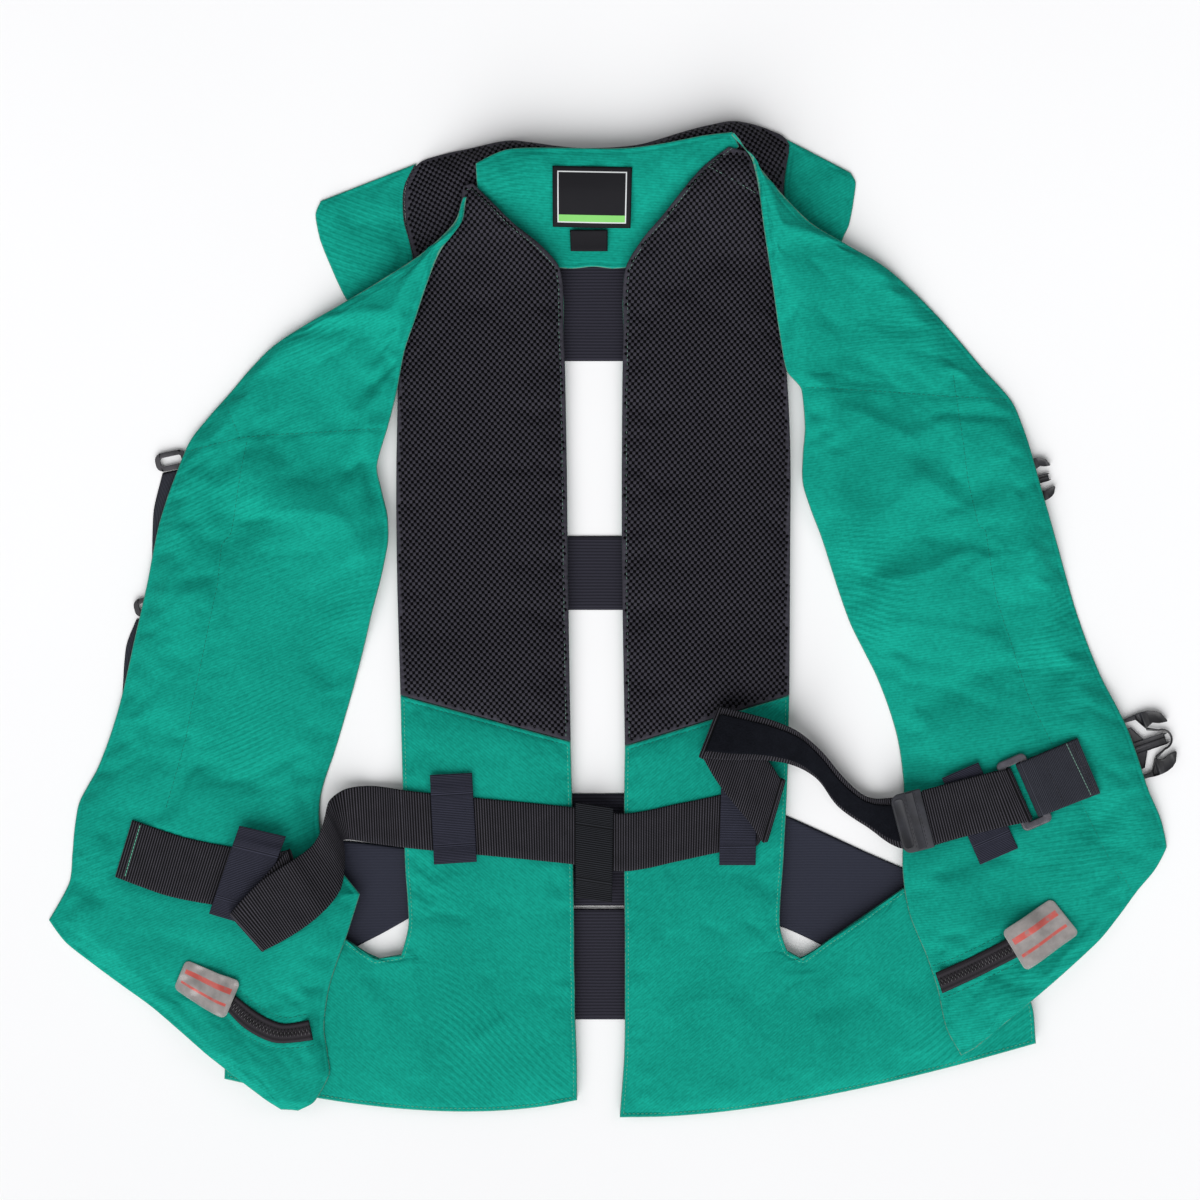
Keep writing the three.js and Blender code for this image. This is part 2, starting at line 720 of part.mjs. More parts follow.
// Low on the floor: elastic bands and side panels
for (const { name, left, right, top, bottom } of SPINE_BANDS) {
  const rows = table(EDGES, [[left, top, left, bottom], [right, top, right, bottom]]);
  layPanel(name, elastic, rows, { cell: 20, across: 3, thickness: flat(ELASTIC_THICK) });
}
const gussets = { side_gusset_left: GUSSET_LEFT, side_gusset_right: GUSSET_RIGHT };
for (const [name, rows] of Object.entries(gussets)) {
  layPanel(name, elastic, rows, { cell: 18, across: 3, thickness: flat(ELASTIC_THICK) });
}

// The back: shells, collar roll, shoulder flaps, yoke, then the mesh and the lining on top
const backs = { left: BACK_LEFT, right: BACK_RIGHT };
const belowShells = [...laid];
for (const [side, rows] of Object.entries(backs)) {
  const spec = { cell: 24, across: 6, thickness: padding(SHELL_THICK, 14), on: belowShells };
  layPanel(`back_shell_${side}`, green, rows, spec);
}

/** Collar roll: rises from its inner edge to the ridge, then falls to its toe. */
function collarThickness({ place, across }) {
  const row = Math.min(Math.floor(place), COLLAR.length - 2);
  const [before, after] = [COLLAR[row], COLLAR[row + 1]];
  const mix = (column) => THREE.MathUtils.lerp(before[column], after[column], place - row);
  const ridge = mix('ridge');
  const share = across < ridge ? across / ridge : (1 - across) / (1 - ridge);
  const ends = Math.min(place, COLLAR.length - 1 - place);
  const full = mix('crest') * Math.sin((Math.min(share, 1) * Math.PI) / 2);
  return CLOTH_EDGE + full * Math.min(ends + 0.2, 1);
}
layPanel('collar_mesh', meshCloth, COLLAR, { cell: 16, across: 7, thickness: collarThickness, rounds: 1 });
const wings = { shoulder_wing_left: SHOULDER_WING_LEFT, shoulder_wing_right: SHOULDER_WING_RIGHT };
for (const [name, rows] of Object.entries(wings)) {
  layPanel(name, green, rows, { cell: 14, across: 5, thickness: padding(WING_THICK, 16), on: [] });
}
const yokeSpec = { cell: 14, across: 7, thickness: padding(YOKE_THICK, 8), clear: 2 * CLEAR };
layPanel('neck_yoke', green, YOKE, yokeSpec);

const SEAM_ROW = { left: 6, right: 7 };
const belowInside = [...laid];
for (const [side, rows] of Object.entries(backs)) {
  const meshRows = rows.slice(0, SEAM_ROW[side] + 1);
  const folds = BACK_MESH_FOLDS[side];
  const thickness = padding(MESH_THICK, 9);
  const spec = { cell: 18, across: 6, thickness, folds, clear: 1.5 * CLEAR, on: belowInside };
  layPanel(`back_mesh_${side}`, meshCloth, meshRows, spec);
}
const SEAM_GAP = 0.4;
for (const [side, rows] of Object.entries(backs)) {
  const liningRows = rows.slice(SEAM_ROW[side]).map((row) => ({ ...row }));
  liningRows[0].ay -= SEAM_GAP;
  liningRows[0].by -= SEAM_GAP;
  const spec = { cell: 18, across: 7, thickness: padding(LINING_THICK, 9), on: belowInside };
  layPanel(`back_lining_${side}`, green, liningRows, spec);
}
const label = finish(COLOUR.label);
const belowLabels = [...laid];
const labelSpec = { cell: 9, across: 5, thickness: flat(LABEL_THICK), rounds: 0, on: belowLabels };
layPanel('neck_label', label, NECK_LABEL, labelSpec);
layPanel('size_label', label, SIZE_LABEL, { ...labelSpec, cell: 5, across: 3 });

// Side-release plugs and webbing that lie under the edges of the fronts
for (const { name, strap, x, y, turn, width, reach, strapWidth } of BUCKLES) {
  const plug = add(name, plate(plugShape(width, reach), BUCKLE_THICK), plastic);
  plug.rotation.z = THREE.MathUtils.degToRad(turn);
  const forward = new THREE.Vector3(1, 0, 0).applyEuler(plug.rotation);
  plug.position.set(x, y, 0).addScaledVector(forward, -reach);
  plug.updateMatrixWorld();
  laid.push(plug);
  const sewnEnd = -BUCKLE_BASE - CLEAR;
  const rows = [sewnEnd, sewnEnd - BUCKLE_STRAP_LENGTH].map((along) => {
    const corner = (side) => plug.localToWorld(new THREE.Vector3(along, side, 0));
    const [a, b] = [corner(strapWidth / 2), corner(-strapWidth / 2)];
    return { ax: a.x, ay: a.y, bx: b.x, by: b.y };
  });
  layPanel(strap, webbing, rows, { cell: 20, across: 2, thickness: flat(WEBBING_THICK), on: [] });
}
for (const { name, x, y, turn } of STRAP_SLIDES) {
  const slide = add(name, plate(frameShape(SLIDE), SLIDE.thick, 1), plastic);
  slide.rotation.z = THREE.MathUtils.degToRad(turn);
  slide.position.set(x, y, 0);
  slide.updateMatrixWorld();
  laid.push(slide);
}
for (const [name, rows] of Object.entries(EDGE_STRAPS)) {
  layPanel(name, webbing, rows, { cell: 18, across: 2, thickness: flat(WEBBING_THICK), on: [] });
}

// The fronts over all of it
const fronts = {
  front_panel_left: { rows: FRONT_LEFT, folds: FRONT_LEFT_FOLDS },
  front_panel_right: { rows: FRONT_RIGHT, folds: FRONT_RIGHT_FOLDS },
};
for (const [name, { rows, folds }] of Object.entries(fronts)) {
  const spec = { cell: 20, across: 9, thickness: padding(FRONT_THICK, 18), folds, rounds: 4 };
  layPanel(name, green, rows, spec);
}

// Pocket zips and film tags
const zipTape = finish(COLOUR.webbing);
for (const [name, rows] of Object.entries({ zipper_left: ZIP_LEFT, zipper_right: ZIP_RIGHT })) {
  layPanel(name, zipTape, rows, { cell: 10, across: 2, thickness: flat(ZIP_THICK), rounds: 1 });
}
const film = finish(COLOUR.film, 0.3);
for (const [name, rows] of Object.entries({ film_tag_left: TAG_LEFT, film_tag_right: TAG_RIGHT })) {
  layPanel(name, film, rows, { cell: 10, across: 3, thickness: flat(FILM_THICK), rounds: 1 });
}

// The belt and its loops, layer on layer: each run rests on the runs and loops below it
const loopCloth = finish(COLOUR.loop);
const LOOP_SHARES = [0, 0.09, 0.16, 0.24, 0.5, 0.78, 0.86, 0.93, 1];
function layLoop(wanted) {
  const { name, ...loop } = BELT_LOOPS.find((row) => row.name === wanted);
  const mix = (corner, share) => THREE.MathUtils.lerp(loop[`${corner}1`], loop[`${corner}2`], share);
  const rows = LOOP_SHARES.map((share) => ({
    ax: mix('ax', share), ay: mix('ay', share), bx: mix('bx', share), by: mix('by', share), tip: 0,
  }));
  add(name, stripGeometry(layRun(rows, LOOP_THICK, 1), LOOP_THICK), loopCloth);
}

const leftFront = layRun(BELT_RUNS.leftFront);
layLoop('belt_loop_front_left');
const tucked = layRun(BELT_RUNS.tucked);
const back = layRun(BELT_RUNS.back);
layLoop('belt_loop_back_left');
layLoop('belt_loop_back_right');
layLoop('belt_loop_spine');
const diagonal = layRun(BELT_RUNS.diagonal);
const tail = layRun(BELT_RUNS.tail, WEBBING_THICK, TAIL_STEPS);
layLoop('belt_loop_front_right');
const anchorLower = layRun(RING_ANCHOR);

const ring = add('belt_ring', plate(frameShape(RING), RING.thick), finish(COLOUR.ring, 0.3));
const { x: ringX, y: ringY, turn: ringTurn } = RING_PLACE;
ring.rotation.z = THREE.MathUtils.degToRad(ringTurn + 90);
ring.position.set(ringX, ringY, seatAt(ringX, ringY, RING.width / 2) + CLEAR);
ring.updateMatrixWorld();
laid.push(ring);
const anchorUpper = layRun([...RING_ANCHOR].reverse());
const end = layRun(BELT_RUNS.end);

add('ring_anchor', stripGeometry(joinRuns([anchorLower, anchorUpper]), WEBBING_THICK), webbing);
const beltRuns = [leftFront, tucked, back, diagonal, tail, end];
add('waist_belt', stripGeometry(joinRuns(beltRuns), WEBBING_THICK), webbing);

/** Loop-pile tape sewn on the upper face of the tail, narrower than the belt. */
function fleeceSections() {
  const lift = WEBBING_THICK / 2 + STRAP_CLEAR + FLEECE_THICK / 2;
  const normals = stripNormals(tail);
  const faceUp = Math.sign(normals[0].z);
  return tail.slice(FLEECE.from, FLEECE.from + FLEECE.rows).map(({ a, b }, k) => {
    const offset = normals[FLEECE.from + k].multiplyScalar(lift * faceUp);
    return {
      a: a.clone().lerp(b, FLEECE.inset).add(offset),
      b: b.clone().lerp(a, FLEECE.inset).add(offset),
    };
  });
}
add('belt_fleece', stripGeometry(fleeceSections(), FLEECE_THICK), finish(COLOUR.fleece, 1));

// Moulded end of the belt, just past the last cross line
const [endMiddle, before] = end.slice(-2).reverse().map(({ a, b }) => a.clone().lerp(b, 0.5));
const endAlong = endMiddle.clone().sub(before).setZ(0).normalize();
const tabShape = roundedOutline(THREE.Shape, TAB.length, TAB.width, TAB.corner);
const tab = add('belt_end_tab', plate(tabShape, TAB.thick), finish(COLOUR.rubber, 0.6));
tab.rotation.z = Math.atan2(endAlong.y, endAlong.x);
tab.position.copy(endMiddle).addScaledVector(endAlong, TAB.length / 2 + CLEAR);
tab.position.z = endMiddle.z - WEBBING_THICK / 2;

// Origin at the middle of the vest's box, on the floor
vest.updateMatrixWorld(true);
const box = new THREE.Box3().setFromObject(vest, true);
const middle = box.getCenter(new THREE.Vector3()).setZ(box.min.z);
vest.children.forEach((mesh) => mesh.position.sub(middle));

vest.name = 'airbag_vest';
export default vest;
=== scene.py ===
import math

import bmesh
import bpy
import numpy as np
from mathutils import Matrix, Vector, noise
from mathutils.bvhtree import BVHTree
from mathutils.geometry import delaunay_2d_cdt
from mathutils.kdtree import KDTree


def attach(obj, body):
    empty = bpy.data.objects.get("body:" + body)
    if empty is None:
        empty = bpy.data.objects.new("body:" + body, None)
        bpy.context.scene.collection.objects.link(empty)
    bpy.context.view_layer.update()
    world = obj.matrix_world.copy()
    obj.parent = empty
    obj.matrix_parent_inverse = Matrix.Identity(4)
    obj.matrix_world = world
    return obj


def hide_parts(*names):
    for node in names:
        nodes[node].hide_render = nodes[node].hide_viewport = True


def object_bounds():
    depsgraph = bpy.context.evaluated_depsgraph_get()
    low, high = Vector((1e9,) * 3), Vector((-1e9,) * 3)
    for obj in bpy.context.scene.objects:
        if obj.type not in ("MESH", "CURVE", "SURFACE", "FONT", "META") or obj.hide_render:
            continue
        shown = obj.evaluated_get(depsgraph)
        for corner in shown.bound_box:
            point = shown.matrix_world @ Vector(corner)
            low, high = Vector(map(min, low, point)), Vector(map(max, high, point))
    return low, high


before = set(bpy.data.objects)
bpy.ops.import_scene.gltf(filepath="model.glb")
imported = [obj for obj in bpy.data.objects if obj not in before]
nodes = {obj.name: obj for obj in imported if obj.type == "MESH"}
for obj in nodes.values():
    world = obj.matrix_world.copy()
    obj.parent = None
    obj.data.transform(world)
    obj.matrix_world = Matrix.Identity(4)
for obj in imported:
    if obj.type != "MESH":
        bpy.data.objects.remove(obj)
cad_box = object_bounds()

# Sizes, in metres unless the name says otherwise
MM = 0.001
TINY = 1e-9
MERGE_STEP = 0.001 * MM
FACING = 0.9

# Steps between the points of a piece
CLOTH_STEP = 2.2 * MM
SHELL_STEP = 5 * MM
SLACK_STEP = 6 * MM
TAPE_STEP = 1.6 * MM
LABEL_STEP = 1.2 * MM
LOOP_STEP = 1.0 * MM
PILE_STEP = 1.5 * MM

# Round edges and corners
EDGE_ROUND = 1.4 * MM
STRAP_ROUND = 0.7 * MM
BAND_ROUND = 0.6 * MM
LABEL_ROUND = 0.4 * MM
FILM_ROUND = 0.3 * MM
TAG_CORNER = 4 * MM

# Hems, seams and stitches
HEM_PLACES = np.array((0.25, 0.7, 1.3, 2.0, 2.6, 3.2, 3.8, 4.6)) * MM
SEAM_INSET = 3.1 * MM
INSET_CLEAR = 0.8
SEAM_WIDE = 0.8 * MM
SEAM_DEEP = 0.45 * MM
GROOVE_WIDE = 1.6 * SEAM_WIDE
GROOVE_DEEP = 1.3 * SEAM_DEEP
ZIP_SEAM = 4 * MM
STITCH_LONG = 2.5 * MM
STITCH_GAP = 0.9 * MM
STITCH_THICK = 0.4 * MM
STITCH_LIFT = 0.15
STITCH_FLAT = 0.7
STITCH_SIDES = 5
STITCH_MOST = 1.6

# Folds, swelling and pressing of the cloth
CORNER_COSINE = 0.7
BEND_COSINE = 0.9
FOLD_END = 12 * MM
FOLD_CREST = 0.8 * MM
FOLD_RIM = 9 * MM
RIPPLE_RIM = 14 * MM
RIPPLE_WIDE = 45 * MM
RIPPLE_NOISE = (1.0, 2.0, 3)
CRUMPLE_WIDE = 16 * MM
CRUMPLE_LIFT = 0.35
CRUMPLE_NOISE = (1.0, 2.0, 2)
CRUMPLE_SEED = 3
SIM_FRAMES = 20
CLOTH_SLACK = 0.012
SEAM_HOLD = 0.8
SEAM_REACH = 0.6 * SLACK_STEP
PRESS_GAP = 0.25 * MM
PRESS_SLOPE = 0.3
LEAST_THICK = 0.4 * MM

# Holes of the net, ribs of the cloth and webbing, loop pile and zip coils
HOLE_ACROSS = 4.2 * MM
HOLE_ALONG = 2.3 * MM
HOLE_WIDE = 1.15 * MM
HOLE_LONG = 1.35 * MM
HOLE_FLOOR = 0.75
HOLE_DEEP = 1.1 * MM
HOLE_SIDES = 6
BAR_CREST = 0.12 * MM
NET_INSET = 0.8 * MM
CLOTH_RIB = 1.8 * MM
CLOTH_DRIFT = 1.4 * MM
COARSE_RIB = 3.9 * MM
COARSE_DRIFT = 60 * MM
ELASTIC_DRIFT = 0.9 * MM
RIB_PITCH = 1.8 * MM
RIB_HIGH = 0.2 * MM
ANCHOR_RIB = 0.3 * RIB_HIGH
RIB_SAMPLES = 4
LOOP_RIB = 0.05 * MM
SELVEDGE = 0.03
PILE_BEFORE = 4
PILE_AFTER = 8
PILE_EDGE = 0.14
PILE_LOW = 0.1 * MM
PILE_HIGH = 1.5 * MM
COIL_PITCH = 1.3 * MM
COIL_WIDE = 6 * MM
COIL_THICK = 1.0 * MM
COIL_LIFT = 0.2 * COIL_THICK
COIL_BACK = 0.15 * COIL_WIDE
COIL_AHEAD = 0.5 * COIL_WIDE

# The zero of the places in the tables below, in millimetres from the left and the lower end of the vest
ZERO_FROM_CORNER = (393.83, 349.75)
PLAN_ZERO = np.array(cad_box[0])[:2] + np.array(ZERO_FROM_CORNER) * MM
ROUND_PANELS = ("collar_mesh",)


def table(columns, rows):
    """Rows of numbers as dictionaries with named columns."""
    return [dict(zip(columns.split(), row)) for row in rows]


def in_plan(places):
    """Places of the tables, in millimetres, as places of the frame."""
    return np.array(places) * MM + PLAN_ZERO


# Folds in millimetres: how high they stand, how wide they are to their left and right, and their line
FOLD_COLUMNS = "high left right line"
FRONT_LEFT_FOLDS = table(FOLD_COLUMNS, (
    (4.0, 6, 9, ((-250, 121), (-251.5, 76))),
    (-2.0, 14, 14, ((-238, 100), (-190, 98))),
    (5.0, 10, 22, ((-249, 75.5), (-230, 75.5), (-209, 74.8), (-190, 71.5), (-182, 63), (-170, 36))),
    (-3.0, 2.2, 3, ((-264, 66), (-253, 69.5), (-230, 72))),
    (3.6, 8, 24, ((-316, 62), (-300, 62.5), (-267, 64.5))),
    (3.2, 8, 24, ((-321, 21.5), (-301, 15.5), (-275, 27))),
    (-1.8, 5, 5, ((-331, -63), (-303, -36))),
    (-6.0, 4, 3.5, ((-172, 157.5), (-158, 171), (-142, 185.5))),
    (-2.4, 5, 5, ((-171, 174), (-157, 189), (-142, 198))),
    (1.6, 7, 14, ((-295, 114), (-258, 125), (-231, 127.5), (-160, 131))),
    (-2.6, 3, 5, ((-187.5, 99), (-167, 121))),
    (-2.5, 6, 11, ((-167, 99), (-155, 58))),
    (-0.9, 4, 4, ((-253, 46.5), (-195, 46.5))),
    (-1.2, 5, 5, ((-244, 176), (-221, 163))),
    (-1.6, 7, 7, ((-209, 195), (-163, 213))),
    (-2.6, 5, 5, ((-371, -181), (-363, -194), (-347, -200))),
    (-1.4, 6, 6, ((-360, -229), (-341, -197))),
    (-1.8, 12, 12, ((-341, -219), (-300, -226), (-265, -241))),
    (-1.6, 6, 6, ((-258, -295), (-249, -327))),
    (-1.2, 7, 7, ((-207, -300), (-220, -335))),
    (-2.8, 4, 8, ((-220, -117), (-207, -143))),
    (-1.8, 5, 5, ((-220, -120), (-204, -95), (-194, -82))),
))
FRONT_RIGHT_FOLDS = table(FOLD_COLUMNS, (
    (-3.2, 3, 4, ((137.6, 152.7), (155, 135))),
    (3.8, 8, 24, ((158, 151), (183, 141), (221, 122))),
    (3.2, 24, 9, ((225, 109), (203, 83), (180, 65), (172.5, 50.5), (165, 30))),
    (4.6, 9, 24, ((178, 28), (209, 29.5), (229.5, 36), (247, 46), (261.5, 45), (269, 33))),
    (3.6, 8, 24, ((267, 47.5), (288, 45), (304, 55))),
    (-2.0, 3, 3, ((255.5, 63.5), (279, 68))),
    (-2.2, 4, 3, ((220.7, 128), (223.5, 138), (232.5, 144), (253, 142.5), (288, 141))),
    (-2.0, 3, 3, ((236.5, 97), (248.5, 98.7))),
    (-1.4, 5, 5, ((253, 98.7), (264.5, 100), (270, 118), (279, 126))),
    (-2.0, 3, 4, ((282, 91), (298, 93))),
    (-2.0, 5, 5, ((206, 190.5), (223.5, 186), (250, 179))),
    (-1.6, 4, 4, ((235, 170), (267, 167))),
    (1.2, 6, 14, ((140, 160), (190, 157.5), (237, 154), (280, 152))),
    (-2.4, 4, 5, ((165, 20), (190, 10))),
    (2.6, 8, 20, ((188.5, -5), (223.5, -5), (276, -15))),
    (-2.6, 4, 5, ((178.5, -18), (201.5, -31))),
    (-1.2, 5, 5, ((194, -19), (223, -29.5), (276, -34))),
    (-2.0, 4, 4, ((200, -44), (220.5, -46))),
    (-1.5, 5, 5, ((302, -29.5), (325.5, -43))),
    (-2.0, 6, 8, ((210, -44), (240, -50), (277, -66))),
    (-2.0, 6, 6, ((334, -149), (353, -133), (372, -117))),
    (-1.8, 5, 6, ((261, -244.5), (290, -259))),
    (-1.2, 5, 5, ((264, -298.5), (280, -282.5))),
    (-1.4, 7, 7, ((238, -270), (250, -300))),
))
LINING_LEFT_FOLDS = table(FOLD_COLUMNS, (
    (1.8, 2.5, 10, ((-139, -229), (-134, -264), (-128, -327))),
    (-2.0, 5, 4, ((-132.5, -209.5), (-118, -206), (-93, -212.5))),
    (-1.4, 5, 5, ((-93, -244.5), (-77, -257))),
    (1.8, 4, 8, ((-102, -302), (-69, -276))),
    (-1.6, 4, 4, ((-54.5, -254), (-46.5, -273))),
    (-1.2, 5, 5, ((-80, -190), (-83, -212))),
    (-2.0, 5, 5, ((-42, -171), (-32.5, -196.5))),
    (-1.6, 6, 6, ((-159.5, -305), (-147, -327))),
    (-0.7, 12, 12, ((-95, -90), (-70, -105))),
))
LINING_RIGHT_FOLDS = table(FOLD_COLUMNS, (
    (1.8, 10, 2.5, ((41.5, -174.5), (43, -225.5))),
    (1.4, 8, 2.5, ((28.8, -212.5), (30.5, -244.5))),
    (-1.4, 4, 4, ((60.5, -209.5), (89, -225))),
    (-1.6, 4, 4, ((89, -206), (116, -225))),
    (1.6, 10, 20, ((35, -285), (61, -267), (105, -270))),
    (1.8, 7, 14, ((35, -337), (73, -337), (89, -321))),
    (1.6, 4, 8, ((16, -317.5), (35, -319))),
    (1.4, 3, 6, ((19, -340), (29, -330))),
    (2.6, 20, 5, ((146.5, -273), (150, -335))),
    (-1.6, 6, 6, ((210, -244.5), (216.5, -273))),
    (0.9, 10, 3, ((189.5, -254), (189.5, -330))),
))
WING_LEFT_FOLDS = table(FOLD_COLUMNS, (
    (-4.0, 5, 9, ((-143, 290), (-143.5, 262), (-152, 236))),
))
MESH_LEFT_FOLDS = table(FOLD_COLUMNS, (
    (-1.6, 5, 3, ((-122, 258.5), (-83, 253))),
    (-1.0, 6, 6, ((-146, 6), (-30, 6))),
))
MESH_RIGHT_FOLDS = table(FOLD_COLUMNS, (
    (-1.6, 3, 5, ((67, 253), (120, 258.5))),
    (-1.0, 6, 6, ((12, 6), (126, 6))),
))

# Seams across the fronts, as points in millimetres
FRONT_LEFT_SEAMS = (
    ((-297, 117), (-258, 127), (-231, 129.5), (-158, 133)),
    ((-270, 152), (-264.5, 141), (-259, 127.5)),
    ((-254, 124), (-265, 60), (-271.5, 52), (-274, 24), (-279, 1), (-297, -85), (-311, -134)),
)
FRONT_RIGHT_SEAMS = (
    ((138, 162), (190, 159.5), (237, 156), (282, 154)),
    ((241.5, 171), (251.5, 99), (258.5, 66), (264, 62), (267.5, 36), (271, 16), (295, -57),
     (330, -127), (358, -183)),
    ((358.5, -177), (367.5, -192.5)),
)

# Sizes of the moulded pieces, in millimetres and degrees
RING_SIZE = (52, 22, 3.5)
RING_TURN = 113.3
RING_BAR = 5.5
RING_CORNER = 3.9
SLIDE_SIZE = (22, 13, 3)
SLIDE_BAR = 3.4
SLIDE_CORNER = 5
INNER_CORNER = 0.43
INNER_REACH = 0.9
FRAME_SOFT = 0.32
TAB_SIZE = (22, 42, 4)
TAB_RAISED = 1.6
TAB_BELOW = 0.9
TAB_STEP = 0.8
TAB_FRONT_CORNER = 6
TAB_BACK_CORNER = 1.2
TAB_BACK_REACH = 0.45
TAB_STITCHES = (1.5, -6.4)
TAB_STITCH_REACH = 0.46
PAD_LONG = 7
PAD_SHY = 7
PAD_PLACE = 6.2
PAD_CORNER = 2.6
STRIP_LONG = 5.6
STRIP_SHY = 1.6
STRIP_PLACE = -2.4
BUCKLE_BASE = 16
BUCKLE_THICK = 4.6
BASE_BAR = 3.6
BASE_CORNER = 1.6
BASE_REACH = 0.49
FIRST_LONG = 1
ARM_SHY = 0.2
HOOK_DEEP = 2.4
HEAD_DEEP = 0.5
PLATE_THICK = 2.6
PLATE_LOW = 0.6
PLATE_RIM = 1.0
PLATE_SUNK = 1.0
GUIDE_THICK = 3.2
GUIDE_MIDDLE = 2.2
GUIDE_SUNK = 1.0
RAIL_SHY = 1
RAIL_THICK = 1.4
RAIL_MIDDLE = 3.2
HORN_THICK = 2.4
SPRING_RADIUS = 0.8
SPRING_MIDDLE = 2.6
SPRING_SIDES = 8
SPRING_STEPS = 10

# Shares of a plug's width
BASE_WIDE = 0.92
ARM_RIM = 0.025
GUIDE_HALF = 0.09
SPRING_HALF = 0.15

# Shares of the half width of a plug's middle bar
GUIDE_RIM = 0.2
RAIL_WIDE = 0.5
HORN_WIDE = 0.4
HORN_ASIDE = 0.8

# How a horn narrows to its tip, and how far the spring's ends spread
HORN_TIP = (1, 0.4, 0.6)
SPRING_SPREAD = 1.55

# Shares of a plug's reach
HOOK_SPAN = (0.44, 0.57)
HEAD_SPAN = (0.64, 0.93)
GUIDE_LONG = 0.86
HORN_LONG = 0.08
HORN_PLACE = 0.88
SPRING_REACH = 0.98

# Edges of a plug's arm and of its plate, as shares of its reach and of its half width
STATION_COLUMNS = "along inner outer"
ARM_STATIONS = table(STATION_COLUMNS, (
    (0, 0.83, 0.92),
    (0.22, 0.85, 0.95),
    (0.44, 0.83, 0.99),
    (0.5, 0.66, 1.0),
    (0.57, 0.47, 1.0),
    (0.64, 0.53, 0.99),
    (0.72, 0.58, 0.97),
    (0.84, 0.5, 0.9),
    (0.93, 0.48, 0.78),
    (1.0, 0.47, 0.53),
))
PLATE_STATIONS = table(STATION_COLUMNS, (
    (0, -0.67, 0.67),
    (0.2, -0.67, 0.67),
    (0.31, -0.65, 0.65),
    (0.46, -0.2, 0.2),
))


# Reading the solids of the frame


def solid_mesh(node):
    """Corners and triangles of a solid, with equal corners merged."""
    mesh = nodes[node].data
    corners = np.empty(len(mesh.vertices) * 3)
    mesh.vertices.foreach_get("co", corners)
    corners = corners.reshape(-1, 3)
    mesh.calc_loop_triangles()
    faces = np.empty(len(mesh.loop_triangles) * 3, int)
    mesh.loop_triangles.foreach_get("vertices", faces)
    keys = np.round(corners / MERGE_STEP).astype(int)
    _, first, merged = np.unique(keys, axis=0, return_index=True, return_inverse=True)
    return corners[first], merged.ravel()[faces].reshape(-1, 3)


def third_corners(faces):
    """The corner that closes each directed edge to a triangle."""
    third = {}
    for a, b, c in faces.tolist():
        third[a, b], third[b, c], third[c, a] = c, a, b
    return third


def slab_grids(node):
    """The upper and the lower face of a sewn slab, as two grids of points."""
    points, faces = solid_mesh(node)
    tree = plan_tree(points)
    partner = np.empty(len(points), int)
    for place, point in enumerate(points):
        pair = [found for _, found, _ in tree.find_n((point[0], point[1], 0), 2)]
        partner[place] = pair[0] if pair[1] == place else pair[1]
    is_upper = points[:, 2] > points[partner, 2]
    upper_faces = faces[is_upper[faces].all(axis=1)]
    third = third_corners(upper_faces)
    uses = np.bincount(upper_faces.ravel(), minlength=len(points))
    after = {a: b for a, b in third if (b, a) not in third}
    row = [max((p for p in after if uses[p] == 2), key=lambda p: points[p, 1])]
    while uses[row[-1]] != 1:
        row.append(after[row[-1]])
    rows = [row]
    while (row[0], row[1]) in third:
        ahead = [third[pair] for pair in zip(row, row[1:])]
        row = [third[row[0], ahead[0]], *ahead]
        rows.append(row)
    places = np.array(rows)
    grids = points[places], points[partner[places]]
    return max(([np.rot90(grid, turn) for grid in grids] for turn in range(4)), key=column_lean)


def column_lean(grids):
    """How closely the columns of a grid follow each other towards +x."""
    run = (grids[0][:, -1] - grids[0][:, 0]).mean(axis=0)
    return run[0] / np.linalg.norm(run)


def strap_rings(node):
    """The rings of four corners along a strap, from its end with the lowest x."""
    points, faces = solid_mesh(node)
    third = third_corners(faces)
    uses = np.bincount(faces.ravel())
    at_end = uses < uses.max()
    caps = faces[at_end[faces].all(axis=1)]
    start = min(caps.tolist(), key=lambda face: points[face, 0].sum())
    cap = [face for face in caps.tolist() if len(set(face) & set(start)) >= 2]
    sides = third_corners(np.array(cap))
    after = {a: b for a, b in sides if (b, a) not in sides}
    ring = [start[0]]
    while len(ring) < 4:
        ring.append(after[ring[-1]])
    rings = [ring]
    while True:
        ahead = [third[ring[(k + 1) % 4], ring[k]] for k in range(4)]
        if set(ahead) & set(ring):
            break
        turns = [ahead[k:] + ahead[:k] for k in range(4)]
        ring = min(turns, key=lambda turn: np.linalg.norm(points[turn] - points[ring], axis=1).sum())
        rings.append(ring)
    rings = points[np.array(rings)]
    width, thick = (np.linalg.norm(rings[0, k] - rings[0, k + 1]) for k in (0, 1))
    return rings if width > thick else np.roll(rings, -1, axis=1)


# Curves and grids


def smoothstep(low, high, value):
    """0 below low, 1 above high, smooth between."""
    share = np.clip((value - low) / (high - low), 0, 1)
    return share * share * (3 - 2 * share)


def slopes_of(values, crisp):
    """Slopes of a curve through a row of points, with none where a crisp one turns a corner."""
    steps = np.diff(values, axis=0)
    before, after = np.concatenate([steps[:1], steps]), np.concatenate([steps, steps[-1:]])
    slopes = (before + after) / 2
    if not crisp:
        return slopes
    sizes = [np.linalg.norm(step[..., :2], axis=-1, keepdims=True) + TINY for step in (before, after)]
    straight = (before * after)[..., :2].sum(axis=-1, keepdims=True) / (sizes[0] * sizes[1])
    room = np.minimum(*sizes) / (np.linalg.norm(slopes[..., :2], axis=-1, keepdims=True) + TINY)
    return slopes * smoothstep(CORNER_COSINE, BEND_COSINE, straight) * np.minimum(room, 1)


